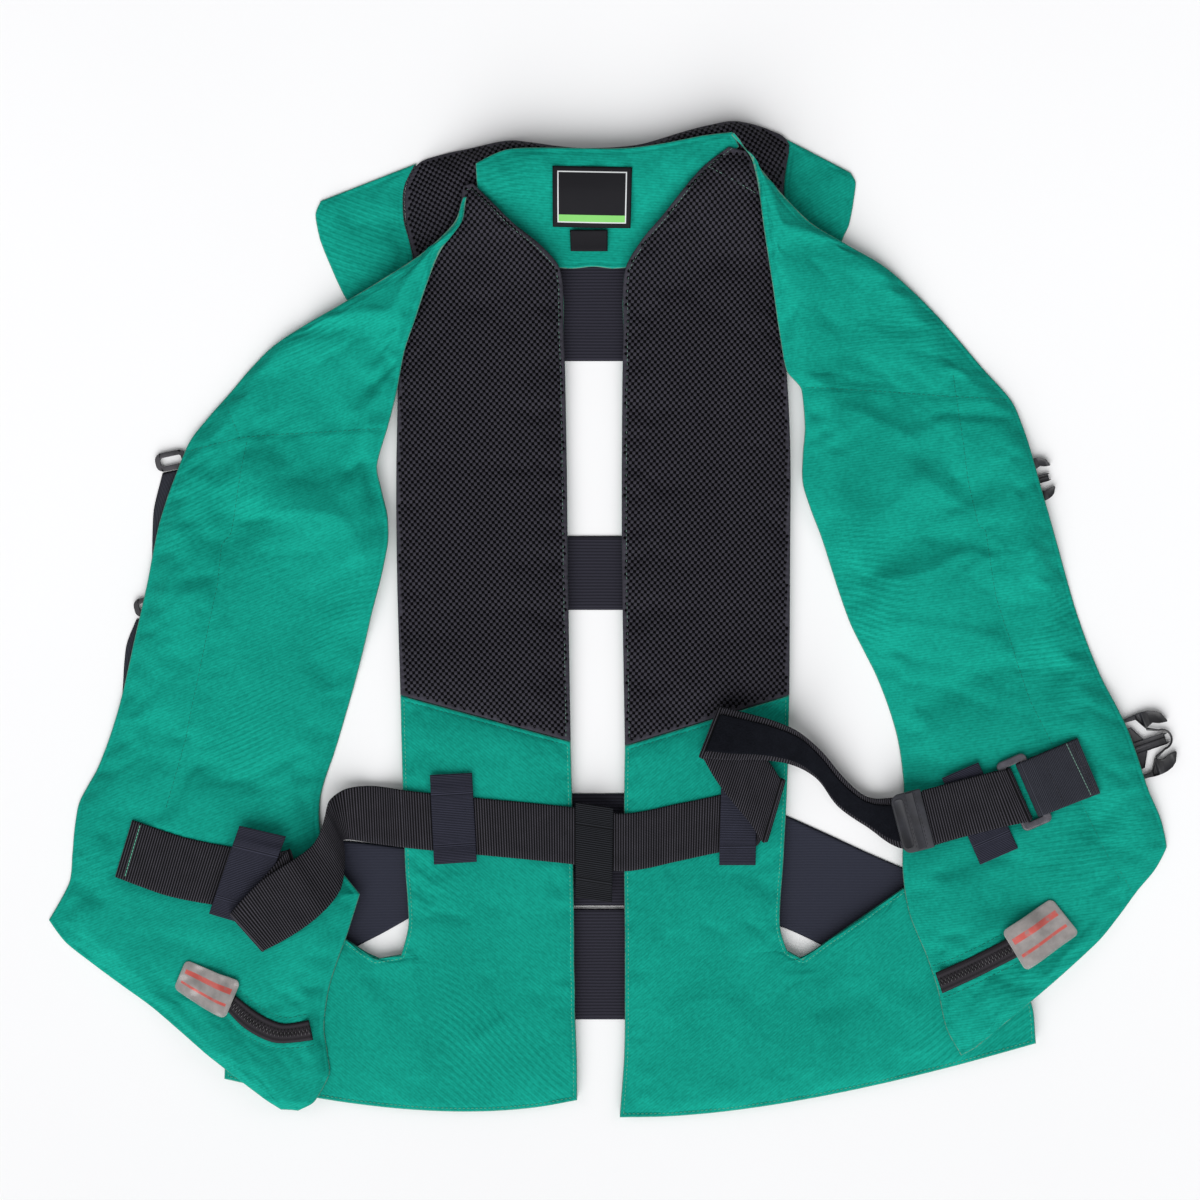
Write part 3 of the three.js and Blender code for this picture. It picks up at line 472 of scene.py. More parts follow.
def curve_at(values, at, crisp=False):
    """Values on a smooth curve through a row of points, at fractional places in the row."""
    slopes = slopes_of(values, crisp)
    start = np.clip(at.astype(int), 0, len(values) - 2)
    share = (at - start).reshape(-1, *[1] * (values.ndim - 1))
    first, rise = values[start], values[start + 1] - values[start]
    leave, arrive = slopes[start], slopes[start + 1]
    bend = 3 * rise - 2 * leave - arrive
    return first + share * (leave + share * (bend + share * (leave + arrive - 2 * rise)))


def resample(grid, rows, columns, crisp=False):
    """A grid of points on a smooth surface through a coarser grid."""
    across = curve_at(grid, rows, crisp).swapaxes(0, 1)
    return curve_at(across, columns, crisp).swapaxes(0, 1)


def grid_lengths(grid, axis):
    """How far each row or column of a grid is from the first, along the surface."""
    gaps = np.linalg.norm(np.diff(grid, axis=axis), axis=-1).mean(axis=1 - axis)
    return np.concatenate([[0], np.cumsum(gaps)])


def spaced(lengths, step, hem=()):
    """Fractional places a step apart, and closer together along the hem at both ends."""
    total = lengths[-1]
    hem = np.array([place for place in hem if place < total / 3])
    reach = hem[-1] if len(hem) else 0
    inner = np.linspace(reach, total - reach, max(int(round((total - 2 * reach) / step)), 2) + 1)
    if len(hem):
        inner = np.concatenate([[0], hem[:-1], inner, total - hem[-2::-1], [total]])
    return np.interp(inner, lengths, np.arange(len(lengths))), inner


def line_lengths(line):
    """How far along a line each of its points is."""
    return np.concatenate([[0], np.cumsum(np.linalg.norm(np.diff(line, axis=0), axis=1))])


def rim_of(grid):
    """The outline of a grid, counterclockwise, without its last point repeated."""
    return np.concatenate([grid[0, :-1], grid[:-1, -1], grid[-1, :0:-1], grid[:0:-1, 0]])


def quads(places):
    """Faces between the rows and columns of a grid of places."""
    corners = places[:-1, :-1], places[:-1, 1:], places[1:, 1:], places[1:, :-1]
    return np.stack(corners, axis=-1).reshape(-1, 4).tolist()


def plan_tree(points):
    """A search tree for points seen from above."""
    tree = KDTree(len(points))
    for place, point in enumerate(points):
        tree.insert((point[0], point[1], 0), place)
    tree.balance()
    return tree


def plan_distance(points, tree):
    """How far points are from those in a tree, seen from above."""
    flat = points.reshape(-1, points.shape[-1])
    far = [tree.find((point[0], point[1], 0))[2] for point in flat]
    return np.array(far).reshape(points.shape[:-1])


def line_distance(points, line):
    """How far points are from a line of straight pieces, seen from above."""
    least = np.full(points.shape[:-1], np.inf)
    for a, b in zip(line[:-1], line[1:]):
        run = b - a
        share = np.clip(((points[..., :2] - a) @ run) / (run @ run), 0, 1)
        off = points[..., :2] - a - share[..., None] * run
        least = np.minimum(least, np.linalg.norm(off, axis=-1))
    return least


def fold_height(points, fold):
    """How far one fold lifts or sinks points of a cloth."""
    corners = in_plan(fold["line"])
    line = curve_at(corners, np.linspace(0, len(corners) - 1, 4 * len(corners)))
    lengths = line_lengths(line)
    least = np.full(points.shape[:-1], np.inf)
    along, wide = np.zeros(least.shape), np.ones(least.shape)
    for start, run, before in zip(line, np.diff(line, axis=0), lengths):
        off = points[..., :2] - start
        share = np.clip((off @ run) / (run @ run), 0, 1)
        far = np.linalg.norm(off - share[..., None] * run, axis=-1)
        on_left = run[0] * off[..., 1] > run[1] * off[..., 0]
        closer = far < least
        least = np.where(closer, far, least)
        along = np.where(closer, before + share * np.linalg.norm(run), along)
        wide = np.where(closer, np.where(on_left, fold["left"], fold["right"]) * MM, wide)
    end = min(FOLD_END, 0.5 * lengths[-1])
    reach = smoothstep(0, end, along) * smoothstep(0, end, lengths[-1] - along)
    return fold["high"] * MM * reach * np.exp(-(np.hypot(least, FOLD_CREST) - FOLD_CREST) / wide)


# Making pieces


def make_piece(name, points, faces, finish, stands_for=(), uv=None, marks=None):
    """A smooth mesh piece that rides on the vest and stands for solids of the frame."""
    mesh = bpy.data.meshes.new(name)
    mesh.from_pydata(np.asarray(points).tolist(), [], faces)
    mesh.polygons.foreach_set("use_smooth", [True] * len(mesh.polygons))
    if uv is not None:
        corners = np.empty(len(mesh.loops), int)
        mesh.loops.foreach_get("vertex_index", corners)
        mesh.uv_layers.new(name="Cloth").data.foreach_set("uv", np.asarray(uv)[corners].ravel())
    for mark, values in (marks or {}).items():
        mesh.attributes.new(mark, "FLOAT", "POINT").data.foreach_set("value", values)
    mesh.materials.append(finish)
    mesh.update()
    piece = bpy.data.objects.new(name, mesh)
    bpy.context.scene.collection.objects.link(piece)
    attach(piece, "root")
    if stands_for:
        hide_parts(*stands_for)
    return piece


class Surface:
    """The faces of some meshes, to seat other things on."""

    def __init__(self, meshes):
        points, faces = [], []
        for corners, sides in meshes:
            faces += [[place + len(points) for place in side] for side in sides]
            points += [tuple(point) for point in corners]
        self.tree = BVHTree.FromPolygons(points, faces)

    def top(self, x, y):
        """The highest point over a place, and the slope there."""
        spot, normal, _, _ = self.tree.ray_cast(Vector((x, y, 1)), Vector((0, 0, -1)))
        return spot, normal

    def underside(self, x, y):
        """The lowest point over a place, or nothing."""
        return self.tree.ray_cast(Vector((x, y, -1)), Vector((0, 0, 1)))[0]


def surface_of(piece):
    """The surface of a finished piece."""
    mesh = piece.data
    return Surface([([v.co for v in mesh.vertices], [list(p.vertices) for p in mesh.polygons])])


def fill_with_air(points, held, pressure, cap):
    """How far the points of a cloth move when it is filled a little from below."""
    rows, columns = points.shape[:2]
    places = np.arange(rows * columns).reshape(rows, columns)
    mesh = bpy.data.meshes.new("filling")
    mesh.from_pydata(points.reshape(-1, 3).tolist(), [], quads(places))
    cloth = bpy.data.objects.new("filling", mesh)
    bpy.context.scene.collection.objects.link(cloth)
    group = cloth.vertex_groups.new(name="held")
    for place, share in enumerate(held.ravel()):
        group.add([place], float(share), "REPLACE")
    modifier = cloth.modifiers.new("Filling", "CLOTH")
    settings = modifier.settings
    settings.quality = 6
    settings.mass = 0.25
    settings.tension_stiffness = 12
    settings.compression_stiffness = 12
    settings.shear_stiffness = 6
    settings.bending_stiffness = 0.6
    settings.vertex_group_mass = "held"
    settings.use_pressure = True
    settings.uniform_pressure_force = pressure
    settings.shrink_min = -CLOTH_SLACK
    settings.effector_weights.gravity = 0
    modifier.point_cache.frame_end = SIM_FRAMES
    for step in range(1, SIM_FRAMES + 1):
        bpy.context.scene.frame_set(step)
    settled = cloth.evaluated_get(bpy.context.evaluated_depsgraph_get()).data
    moved = np.empty(rows * columns * 3)
    settled.vertices.foreach_get("co", moved)
    bpy.context.scene.frame_set(1)
    bpy.data.objects.remove(cloth)
    moved = moved.reshape(points.shape) - points
    far = np.linalg.norm(moved, axis=-1, keepdims=True)
    return moved * np.tanh(far / cap) * cap / np.maximum(far, TINY)


class Panel:
    """A sewn panel: the upper and lower face of a slab, resampled finely."""

    def __init__(self, node, step, hem=HEM_PLACES):
        self.node = node
        self.crisp = node not in ROUND_PANELS
        self.coarse, lower = slab_grids(node)
        self.lengths = [grid_lengths(self.coarse, axis) for axis in (0, 1)]
        self.rows, self.along = spaced(self.lengths[0], step, hem)
        self.columns, self.across = spaced(self.lengths[1], step, hem)
        self.upper = resample(self.coarse, self.rows, self.columns, self.crisp)
        self.lower = resample(lower, self.rows, self.columns, self.crisp)
        self.uv = np.stack(np.meshgrid(self.across, self.along), axis=-1)
        self.measure_rim()

    def measure_rim(self):
        """Measures how far each point is from the rim."""
        self.rim = plan_distance(self.upper, plan_tree(rim_of(self.upper)))

    def round_corners(self, radius):
        """Cuts the four corners of a small piece round."""
        wide = self.across[-1]
        edge = np.minimum(self.along, self.along[-1] - self.along)
        cut = radius - np.sqrt(radius**2 - np.clip(radius - edge, 0, radius) ** 2)
        for row, shy in enumerate(cut):
            places = shy + self.across * (wide - 2 * shy) / wide
            for grid in (self.upper, self.lower, self.uv):
                for axis in range(grid.shape[-1]):
                    grid[row, :, axis] = np.interp(places, self.across, grid[row, :, axis])
        self.measure_rim()

    def fill(self, pressure, cap, seams):
        """Fills the panel a little, held along its rim and seams."""
        rows, _ = spaced(self.lengths[0], SLACK_STEP)
        columns, _ = spaced(self.lengths[1], SLACK_STEP)
        sheet = resample(self.coarse, rows, columns, self.crisp)
        held = np.zeros(sheet.shape[:2])
        held[[0, -1]] = held[:, [0, -1]] = 1
        for seam in seams:
            near = line_distance(sheet, in_plan(seam))
            held = np.maximum(held, SEAM_HOLD * (near < SEAM_REACH))
        moved = fill_with_air(sheet, held, pressure, cap)
        row_places = np.interp(self.rows, rows, np.arange(len(rows)))
        column_places = np.interp(self.columns, columns, np.arange(len(columns)))
        self.upper += resample(moved, row_places, column_places)

    def fold(self, folds):
        """Presses and lifts the upper face along its folds, less so by the rim."""
        inner = smoothstep(0, FOLD_RIM, self.rim)
        for fold in folds:
            self.upper[..., 2] += inner * fold_height(self.upper, fold)

    def ripple(self, high, seed):
        """Gives the upper face the small unevenness of handled cloth."""
        inner = smoothstep(0, RIPPLE_RIM, self.rim)
        for place in np.ndindex(self.rim.shape):
            x, y, _ = self.upper[place] / RIPPLE_WIDE
            self.upper[place][2] += high * inner[place] * noise.fractal((x, y, seed), *RIPPLE_NOISE)

    def groove(self, line):
        """Sinks a seam into the upper face."""
        near = line_distance(self.upper, in_plan(line))
        self.upper[..., 2] -= GROOVE_DEEP * np.exp(-((near / GROOVE_WIDE) ** 2))

    def sew_hem(self):
        """Sinks the stitched line along the rim."""
        self.upper[..., 2] -= SEAM_DEEP * np.exp(-(((self.rim - SEAM_INSET) / SEAM_WIDE) ** 2))

    def press(self, surface):
        """Keeps the upper face below what lies on it."""
        ceiling = np.full(self.rim.shape, np.inf)
        for place in np.ndindex(self.rim.shape):
            over = surface.underside(*self.upper[place][:2])
            if over is not None and over.z > self.lower[place][2]:
                ceiling[place] = over.z - PRESS_GAP
        for axis in (0, 1):
            gaps = np.linalg.norm(np.diff(self.upper[..., :2], axis=axis), axis=-1) * PRESS_SLOPE
            lines, steps = np.moveaxis(ceiling, axis, 0), np.moveaxis(gaps, axis, 0)
            for k in range(len(steps)):
                lines[k + 1] = np.minimum(lines[k + 1], lines[k] + steps[k])
            for k in reversed(range(len(steps))):
                lines[k] = np.minimum(lines[k], lines[k + 1] + steps[k])
        height = np.minimum(self.upper[..., 2], ceiling)
        self.upper[..., 2] = np.maximum(height, self.lower[..., 2] + LEAST_THICK)

    def round_rim(self, reach=EDGE_ROUND):
        """Brings both faces together at the rim, in a round edge."""
        share = np.clip(self.rim / reach, 0, 1)
        open_by = np.sqrt(1 - (1 - share) ** 2)
        middle = (self.upper[..., 2] + self.lower[..., 2]) / 2
        for face in (self.upper, self.lower):
            face[..., 2] = middle + (face[..., 2] - middle) * open_by

    def mesh(self):
        """Points, faces, cloth coordinates and rim distances of the closed panel."""
        shape = self.rim.shape
        count = shape[0] * shape[1]
        upper = np.arange(count).reshape(shape)
        lower = upper.copy()
        lower[1:-1, 1:-1] = count + np.arange((shape[0] - 2) * (shape[1] - 2)).reshape(shape[0] - 2, -1)
        inner = self.lower[1:-1, 1:-1].reshape(-1, 3)
        points = np.concatenate([self.upper.reshape(-1, 3), inner])
        faces = quads(upper) + quads(lower[:, ::-1])
        uv = np.concatenate([self.uv.reshape(-1, 2), self.uv[1:-1, 1:-1].reshape(-1, 2)])
        rim = np.concatenate([self.rim.ravel(), self.rim[1:-1, 1:-1].ravel()])
        return points, faces, uv, rim

    def piece(self, name, finish, slot):
        """The panel as a piece that stands for its solid."""
        points, faces, uv, rim = self.mesh()
        return make_piece(name, points, faces, finish, [self.node], uv, {"rim": rim})

    def inset_line(self, inset):
        """A closed line along the rim, a little inside it, seen from above."""
        outline = rim_of(self.upper)[:, :2]
        run = np.roll(outline, -2, axis=0) - np.roll(outline, 2, axis=0)
        inward = np.stack([-run[:, 1], run[:, 0]], axis=-1)
        inward /= np.maximum(np.linalg.norm(inward, axis=1, keepdims=True), TINY)
        line = outline + inset * inward
        clear = plan_distance(line, plan_tree(outline)) > INSET_CLEAR * inset
        return line[clear]


def stretch(line, start, end):
    """The part of a closed line between the points nearest to two places in millimetres."""
    first, last = (np.argmin(np.linalg.norm(line - in_plan(place), axis=1)) for place in (start, end))
    return np.roll(line, -first, axis=0)[: (last - first) % len(line) + 1]


def strap_mesh(rings, step, profile, rib):
    """A woven strap through rings of corners: points, faces and cloth coordinates."""
    left, right = (rings[:, 0] + rings[:, 3]) / 2, (rings[:, 1] + rings[:, 2]) / 2
    up = rings[:, 0] + rings[:, 1] - rings[:, 2] - rings[:, 3]
    thick = np.linalg.norm(up, axis=1).mean() / 2
    at, along = spaced(line_lengths((left + right) / 2), step)
    left, right, up = (curve_at(values, at) for values in (left, right, up))
    up /= np.linalg.norm(up, axis=1, keepdims=True)
    wide = np.linalg.norm(right - left, axis=1).mean()
    swing = rib * np.cos(2 * np.pi * along / RIB_PITCH)
    across, side = np.array(profile).T
    height = side[None] * thick / 2 + np.sign(side) * swing[:, None] * (np.abs(side) > FACING)
    share = across[None, :, None]
    points = left[:, None] * (1 - share) + right[:, None] * share + up[:, None] * height[..., None]
    count, around = points.shape[:2]
    places = np.arange(count * around).reshape(count, around)
    places = np.concatenate([places, places[:, :1]], axis=1)
    faces = quads(places) + [places[0, :0:-1].tolist(), places[-1, :-1].tolist()]
    uv = np.stack(np.broadcast_arrays(along[:, None], across[None] * wide), axis=-1)
    return points.reshape(-1, 3), faces, uv.reshape(-1, 2)


def strap_profile(spans):
    """Places round a strap's section: across from 0 to 1, and up from -1 to 1."""
    inner = np.linspace(SELVEDGE, 1 - SELVEDGE, spans + 1)
    edge = 0.25 * SELVEDGE
    upper = [(0.0, 0.0), (edge, 0.75), *((x, 1.0) for x in inner), (1 - edge, 0.75)]
    lower = [(1.0, 0.0), (1 - edge, -0.75), *((x, -1.0) for x in inner[::-1]), (edge, -0.75)]
    return upper + lower


def straighten(piece):
    """Turns the faces of a closed mesh outwards."""
    bpy.ops.object.select_all(action="DESELECT")
    bpy.context.view_layer.objects.active = piece
    piece.select_set(True)
    bpy.ops.object.mode_set(mode="EDIT")
    bpy.ops.mesh.select_all(action="SELECT")
    bpy.ops.mesh.normals_make_consistent(inside=False)
    bpy.ops.object.mode_set(mode="OBJECT")


# Threads


# Along a stitch: where, how thick as a share, and how far it rises
STITCH_STATIONS = (
    (0.0, 0.45, -0.5),
    (0.16, 1.0, 0.0),
    (0.5, 1.1, 0.15),
    (0.84, 1.0, 0.0),
    (1.0, 0.45, -0.5),
)


def capsules(starts, ends, ups, thick):
    """Short round rods from starts to ends, their ends sunk and tapered."""
    runs = ends - starts
    long = np.linalg.norm(runs, axis=1, keepdims=True)
    runs = runs / np.maximum(long, TINY)
    asides = np.cross(ups, runs)
    asides /= np.maximum(np.linalg.norm(asides, axis=1, keepdims=True), TINY)
    lifts = np.cross(runs, asides)
    sides = STITCH_SIDES
    angles = 2 * np.pi * np.arange(sides) / sides
    rings = []
    for share, swell, rise in STITCH_STATIONS:
        centre = starts + share * (ends - starts) + rise * 0.5 * thick * lifts
        for angle in angles:
            out = math.cos(angle) * asides + STITCH_FLAT * math.sin(angle) * lifts
            rings.append(centre + 0.5 * thick * swell * out)
    points = np.stack(rings, axis=1).reshape(-1, 3)
    faces = []
    count = sides * len(STITCH_STATIONS)
    for first in range(0, len(points), count):
        for ring in range(first, first + count - sides, sides):
            for k in range(sides):
                after = (k + 1) % sides
                faces.append([ring + k, ring + after, ring + sides + after, ring + sides + k])
        faces.append([first + k for k in reversed(range(sides))])
        faces.append([first + count - sides + k for k in range(sides)])
    return points, faces


class Thread:
    """Stitches of one colour, gathered into one piece."""

    def __init__(self, name, finish, slot):
        self.name, self.finish, self.slot = name, finish, slot
        self.points, self.faces, self.count = [], [], 0

    def gather(self, points, faces):
        """Adds some stitches to the piece."""
        self.faces += [[place + self.count for place in face] for face in faces]
        self.points.append(points)
        self.count += len(points)

    def sew(self, line, surface, long=STITCH_LONG, gap=STITCH_GAP, thick=STITCH_THICK):
        """A row of stitches along a line seen from above, on a surface."""
        lengths = line_lengths(line)
        firsts = np.arange(0, lengths[-1] - long, long + gap)
        rods = []
        for first in firsts:
            ends = []
            for place in (first, first + long):
                x, y = (np.interp(place, lengths, line[:, axis]) for axis in (0, 1))
                ends.append(surface.top(x, y))
            if ends[0][0] is None or ends[1][0] is None:
                continue
            if (ends[0][0] - ends[1][0]).length > STITCH_MOST * long:
                continue
            rods.append((ends[0][0], ends[1][0], ends[0][1] + ends[1][1]))
        if rods:
            starts, stops, ups = (np.array([rod[k] for rod in rods]) for k in range(3))
            ups /= np.linalg.norm(ups, axis=1, keepdims=True)
            lift = STITCH_LIFT * thick * ups
            self.gather(*capsules(starts + lift, stops + lift, ups, thick))

    def piece(self):
        """All the stitches as one piece."""
        points = np.concatenate(self.points)
        return make_piece(self.name, points, self.faces, self.finish)


# Finishes


def linear(red, green, blue):
    """A screen colour from 0 to 255 as the light it stands for."""
    shares = (value / 255 for value in (red, green, blue))
    return tuple(s / 12.92 if s < 0.04045 else ((s + 0.055) / 1.055) ** 2.4 for s in shares) + (1.0,)


# Dark and light tone of each finish
TONES = {
    row["name"]: (linear(*row["dark"]), linear(*row["light"]))
    for row in table("name dark light", (
        ("green_cloth", (8, 128, 111), (22, 165, 145)),
        ("spacer_mesh", (42, 41, 48), (68, 66, 75)),
        ("band_elastic", (20, 20, 26), (56, 55, 66)),
        ("gusset_elastic", (34, 36, 45), (58, 60, 74)),
        ("belt_webbing", (4, 4, 6), (78, 76, 84)),
        ("anchor_webbing", (30, 31, 38), (72, 74, 84)),
        ("loop_grosgrain", (26, 27, 36), (66, 67, 84)),
        ("spine_grosgrain", (8, 9, 12), (50, 52, 58)),
        ("fuzzy_pile", (1, 1, 2), (28, 30, 37)),
        ("woven_label", (12, 12, 15), (30, 29, 34)),
        ("tag_film", (122, 118, 116), (182, 174, 172)),
        ("zip_tape", (14, 13, 16), (52, 48, 54)),
        ("coil_nylon", (16, 15, 18), (58, 55, 60)),
        ("ring_plastic", (66, 65, 72), (98, 96, 104)),
        ("plug_plastic", (24, 24, 27), (50, 50, 55)),
        ("slide_plastic", (40, 39, 43), (70, 68, 73)),
        ("tab_rubber", (26, 27, 33), (46, 47, 56)),
        ("floor_paper", (248, 248, 249), (251, 251, 252)),
    ))
}
WORN_GREEN = linear(120, 140, 122)
# Painted shade for the floors of the net's holes
HOLE_SHADE = linear(5, 5, 7)
FRAME_PALE = linear(222, 224, 226)
FOOT_GREEN = linear(132, 205, 110)
BAR_CORAL = linear(206, 92, 84)
RIM_GREY = linear(168, 166, 164)

# Worn and clear rims, from where they begin to fade to where they end
WORN_RIM = (0.15 * MM, 0.7 * MM)
CLEAR_RIM = (1.0 * MM, 1.8 * MM)

# Thread pitches of knits and weaves
KNIT_PITCH = 0.8 * MM
THREAD_PITCH = 0.7 * MM
LABEL_PITCH = 0.45 * MM
TAPE_RIDGE = 3.6 * MM

# Frame and foot of the neck label, and how soft the edges of its lines are
FRAME_EDGE = 3.4 * MM
FRAME_LINE = 0.8 * MM
FOOT_HIGH = 5.0 * MM
FRAME_SOFT_EDGE = 0.12 * MM

# Bars of the film tags, as shares of their length and width
TAG_BARS = ((0.28, 0.35), (0.6, 0.74))
TAG_BAR_ENDS = (0.07, 0.92)
TAG_SOFT_EDGE = 0.25 * MM


class Value:
    """A number that changes over a finish; sums on it add nodes."""

    def __init__(self, finish, socket):
        self.finish, self.socket = finish, socket

    def math(self, operation, *terms):
        node = self.finish.add("ShaderNodeMath", {"operation": operation}, dict(enumerate(terms)))
        return self.finish.out(node)

    def __add__(self, other):
        return self.math("ADD", self, other)

    def __radd__(self, other):
        return self.math("ADD", other, self)

    def __sub__(self, other):
        return self.math("SUBTRACT", self, other)

    def __rsub__(self, other):
        return self.math("SUBTRACT", other, self)

    def __mul__(self, other):
        return self.math("MULTIPLY", self, other)

    def __rmul__(self, other):
        return self.math("MULTIPLY", other, self)

    def __truediv__(self, other):
        return self.math("DIVIDE", self, other)

    def sine(self):
        return self.math("SINE", self)

    def size(self):
        return self.math("ABSOLUTE", self)

    def fraction(self):
        return self.math("FRACT", self)

    def whole(self):
        return self.math("FLOOR", self)

    def over(self, edge):
        return self.math("GREATER_THAN", self, edge)

    def ramp(self, low, high):
        """0 below low, 1 above high, smooth between."""
        node = self.finish.add(
            "ShaderNodeMapRange",
            {"interpolation_type": "SMOOTHSTEP"},
            {"Value": self, "From Min": low, "From Max": high},
        )
        return self.finish.out(node)

    def between(self, low, high, soft):
        """1 from low to high, with soft edges."""
        return self.ramp(low - soft, low + soft) - self.ramp(high - soft, high + soft)


class Finish:
    """A material whose nodes are added one by one."""

    def __init__(self, name, **constants):
        self.material = bpy.data.materials.new(name)
        self.material.use_nodes = True
        self.tree = self.material.node_tree
        self.shader = self.tree.nodes["Principled BSDF"]
        for socket, value in constants.items():
            self.shader.inputs[socket.replace("_", " ")].default_value = value

    def add(self, kind, settings, sockets):
        """A node of this kind, with its settings and the values or links of its sockets."""
        node = self.tree.nodes.new(kind)
        for setting, value in settings.items():
            setattr(node, setting, value)
        for socket, value in sockets.items():
            self.join(node.inputs[socket], value)
        return node

    def out(self, node, socket=0):
        return Value(self, node.outputs[socket])

    def join(self, socket, value):
        if isinstance(value, Value):
            self.tree.links.new(value.socket, socket)
        else:
            socket.default_value = value

    def set(self, socket, value):
        self.join(self.shader.inputs[socket], value)

    def place(self, turn=0.0):
        """x and y over the vest, in metres, turned by some degrees."""
        coordinates = self.add("ShaderNodeTexCoord", {}, {})
        turned = self.add(
            "ShaderNodeVectorRotate",
            {"rotation_type": "Z_AXIS"},
            {"Vector": self.out(coordinates, "Object"), "Angle": math.radians(turn)},
        )
        return self.out(turned), *self.parts(self.out(turned))

    def parts(self, vector):
        split = self.add("ShaderNodeSeparateXYZ", {}, {"Vector": vector})
        return [self.out(split, axis) for axis in ("X", "Y")]

    def cloth(self):
        """Cloth coordinates in metres: along and across a strap, across and along a panel."""
        uv = self.add("ShaderNodeUVMap", {"uv_map": "Cloth"}, {})
        return self.out(uv), *self.parts(self.out(uv))

    def mark(self, name):
        node = self.add("ShaderNodeAttribute", {"attribute_name": name}, {})
        return self.out(node, "Fac")

    def speckle(self, vector, scale, detail=2.0, stretch=(1, 1, 1)):
        """Soft noise from 0 to 1, with a scale in cycles per metre."""
        scaled = self.add(
            "ShaderNodeVectorMath", {"operation": "MULTIPLY"}, {0: vector, 1: stretch}
        )
        node = self.add(
            "ShaderNodeTexNoise",
            {"noise_dimensions": "3D"},
            {"Vector": self.out(scaled), "Scale": scale, "Detail": detail, "Roughness": 0.55},
        )
        return self.out(node, "Fac")

    def mix(self, share, first, second):
        """A colour between two others."""
        node = self.add(
            "ShaderNodeMix", {"data_type": "RGBA"}, {0: share, 6: first, 7: second}
        )
        return self.out(node, 2)

    def relief(self, height, deep, strength=1.0):
        """Small bumps in the surface, deep in metres for a height of 1."""
        node = self.add(
            "ShaderNodeBump", {}, {"Height": height, "Distance": deep, "Strength": strength}
        )
        self.set("Normal", self.out(node))


def weave(x, y, pitch):
    """The over and under of a plain weave, from 0 to 1."""
    across, along = x / pitch, y / pitch
    turn = ((across.whole() + along.whole()) / 2).fraction().over(0.25)
    warp = (across * math.pi).sine().size()
    weft = (along * math.pi).sine().size()
    return warp * turn + weft * (1 - turn)


def green_cloth(name, turn):
    """Coated green cloth: fine ribs broken up by the weave, some coarser ones, and a pale worn rim."""
    finish = Finish(name, Specular_IOR_Level=0.05)
    place, _, y = finish.place(turn)
    drift = finish.speckle(place, scale=25, detail=2)
    bent = y + drift * CLOTH_DRIFT
    rib = (bent * (2 * math.pi / CLOTH_RIB)).sine() * 0.5 + 0.5
    cells = finish.speckle(place, scale=620, detail=2, stretch=(0.5, 1, 1))
    clouds = finish.speckle(place, scale=14, detail=3)
    curved = y + finish.speckle(place, scale=7, detail=1) * COARSE_DRIFT
    patches = finish.speckle(place, scale=9, detail=1).ramp(0.5, 0.7)
    coarse = (curved * (2 * math.pi / COARSE_RIB)).sine() * patches
    rim = finish.mark("rim")
    shade = (rib * 0.2 + coarse * 0.14 + cells * 0.9 + clouds * 0.5 - 0.3).ramp(0.0, 1.0)
    body = finish.mix(shade, *TONES["green_cloth"])
    worn = (1 - rim.ramp(*WORN_RIM)) * cells.ramp(0.3, 0.55)
    finish.set("Base Color", finish.mix(worn * 0.7, body, WORN_GREEN))
    finish.set("Roughness", 0.74 + 0.2 * cells)
    finish.relief(rib * 0.25 + cells * 0.6, deep=0.16 * MM, strength=0.7)
    return finish.material


def spacer_mesh():
    """Black knitted net with painted shade in its holes and a dull shine on its bars."""
    finish = Finish("spacer_mesh", Specular_IOR_Level=0.1)
    place, x, y = finish.place(30)
    knit = weave(x, y, KNIT_PITCH)
    hole = finish.mark("hole")
    dust = finish.speckle(place, scale=60, detail=3)
    bar = finish.mix(knit * 0.6 + dust * 0.4, *TONES["spacer_mesh"])
    # The hole floors are painted near black as the shade inside the holes
    finish.set("Base Color", finish.mix(hole.ramp(0.05, 0.5), bar, HOLE_SHADE))
    finish.set("Roughness", 0.7 + 0.2 * knit)
    finish.relief(knit, deep=0.12 * MM, strength=0.6)
    return finish.material


def ribbed_elastic(name, pitch):
    """Black elastic with fine crosswise ribs."""
    finish = Finish(name, Specular_IOR_Level=0.1)
    place, x, y = finish.place(0)
    wobble = finish.speckle(place, scale=30, detail=2, stretch=(0.5, 1, 1))
    rib = ((y + wobble * ELASTIC_DRIFT) * (2 * math.pi / pitch)).sine() * 0.5 + 0.5
    threads = weave(x, y, THREAD_PITCH)
    finish.set("Base Color", finish.mix(rib * 0.6 + threads * 0.4, *TONES[name]))
    finish.set("Roughness", 0.75 + 0.2 * rib)
    finish.relief(rib * 0.8 + threads * 0.3, deep=0.25 * MM, strength=0.7)
    return finish.material


def woven_strap(name, pitch, warp_pitch, rough):
    """Black webbing: crosswise ribs broken into small cells by the warp, with painted highlight on the rib
    crests and painted shade between them.
    """
    finish = Finish(name, Specular_IOR_Level=0.1)
    place, along, across = finish.cloth()
    rib = (along * (2 * math.pi / pitch) + 0.5 * math.pi).sine() * 0.5 + 0.5
    warp = (across * (2 * math.pi / warp_pitch) + along * (math.pi / pitch)).sine() * 0.5 + 0.5
    wear = finish.speckle(place, scale=90, detail=3)
    # The ribs' colour is painted highlight on their crests and painted shade in the grooves between them
    cell = rib * rib * (0.75 + 0.25 * warp)
    finish.set("Base Color", finish.mix(cell * (0.55 + 0.7 * wear), *TONES[name]))
    finish.set("Roughness", rough + 0.2 * wear)
    finish.relief(cell, deep=0.22 * MM, strength=0.8)
    return finish.material


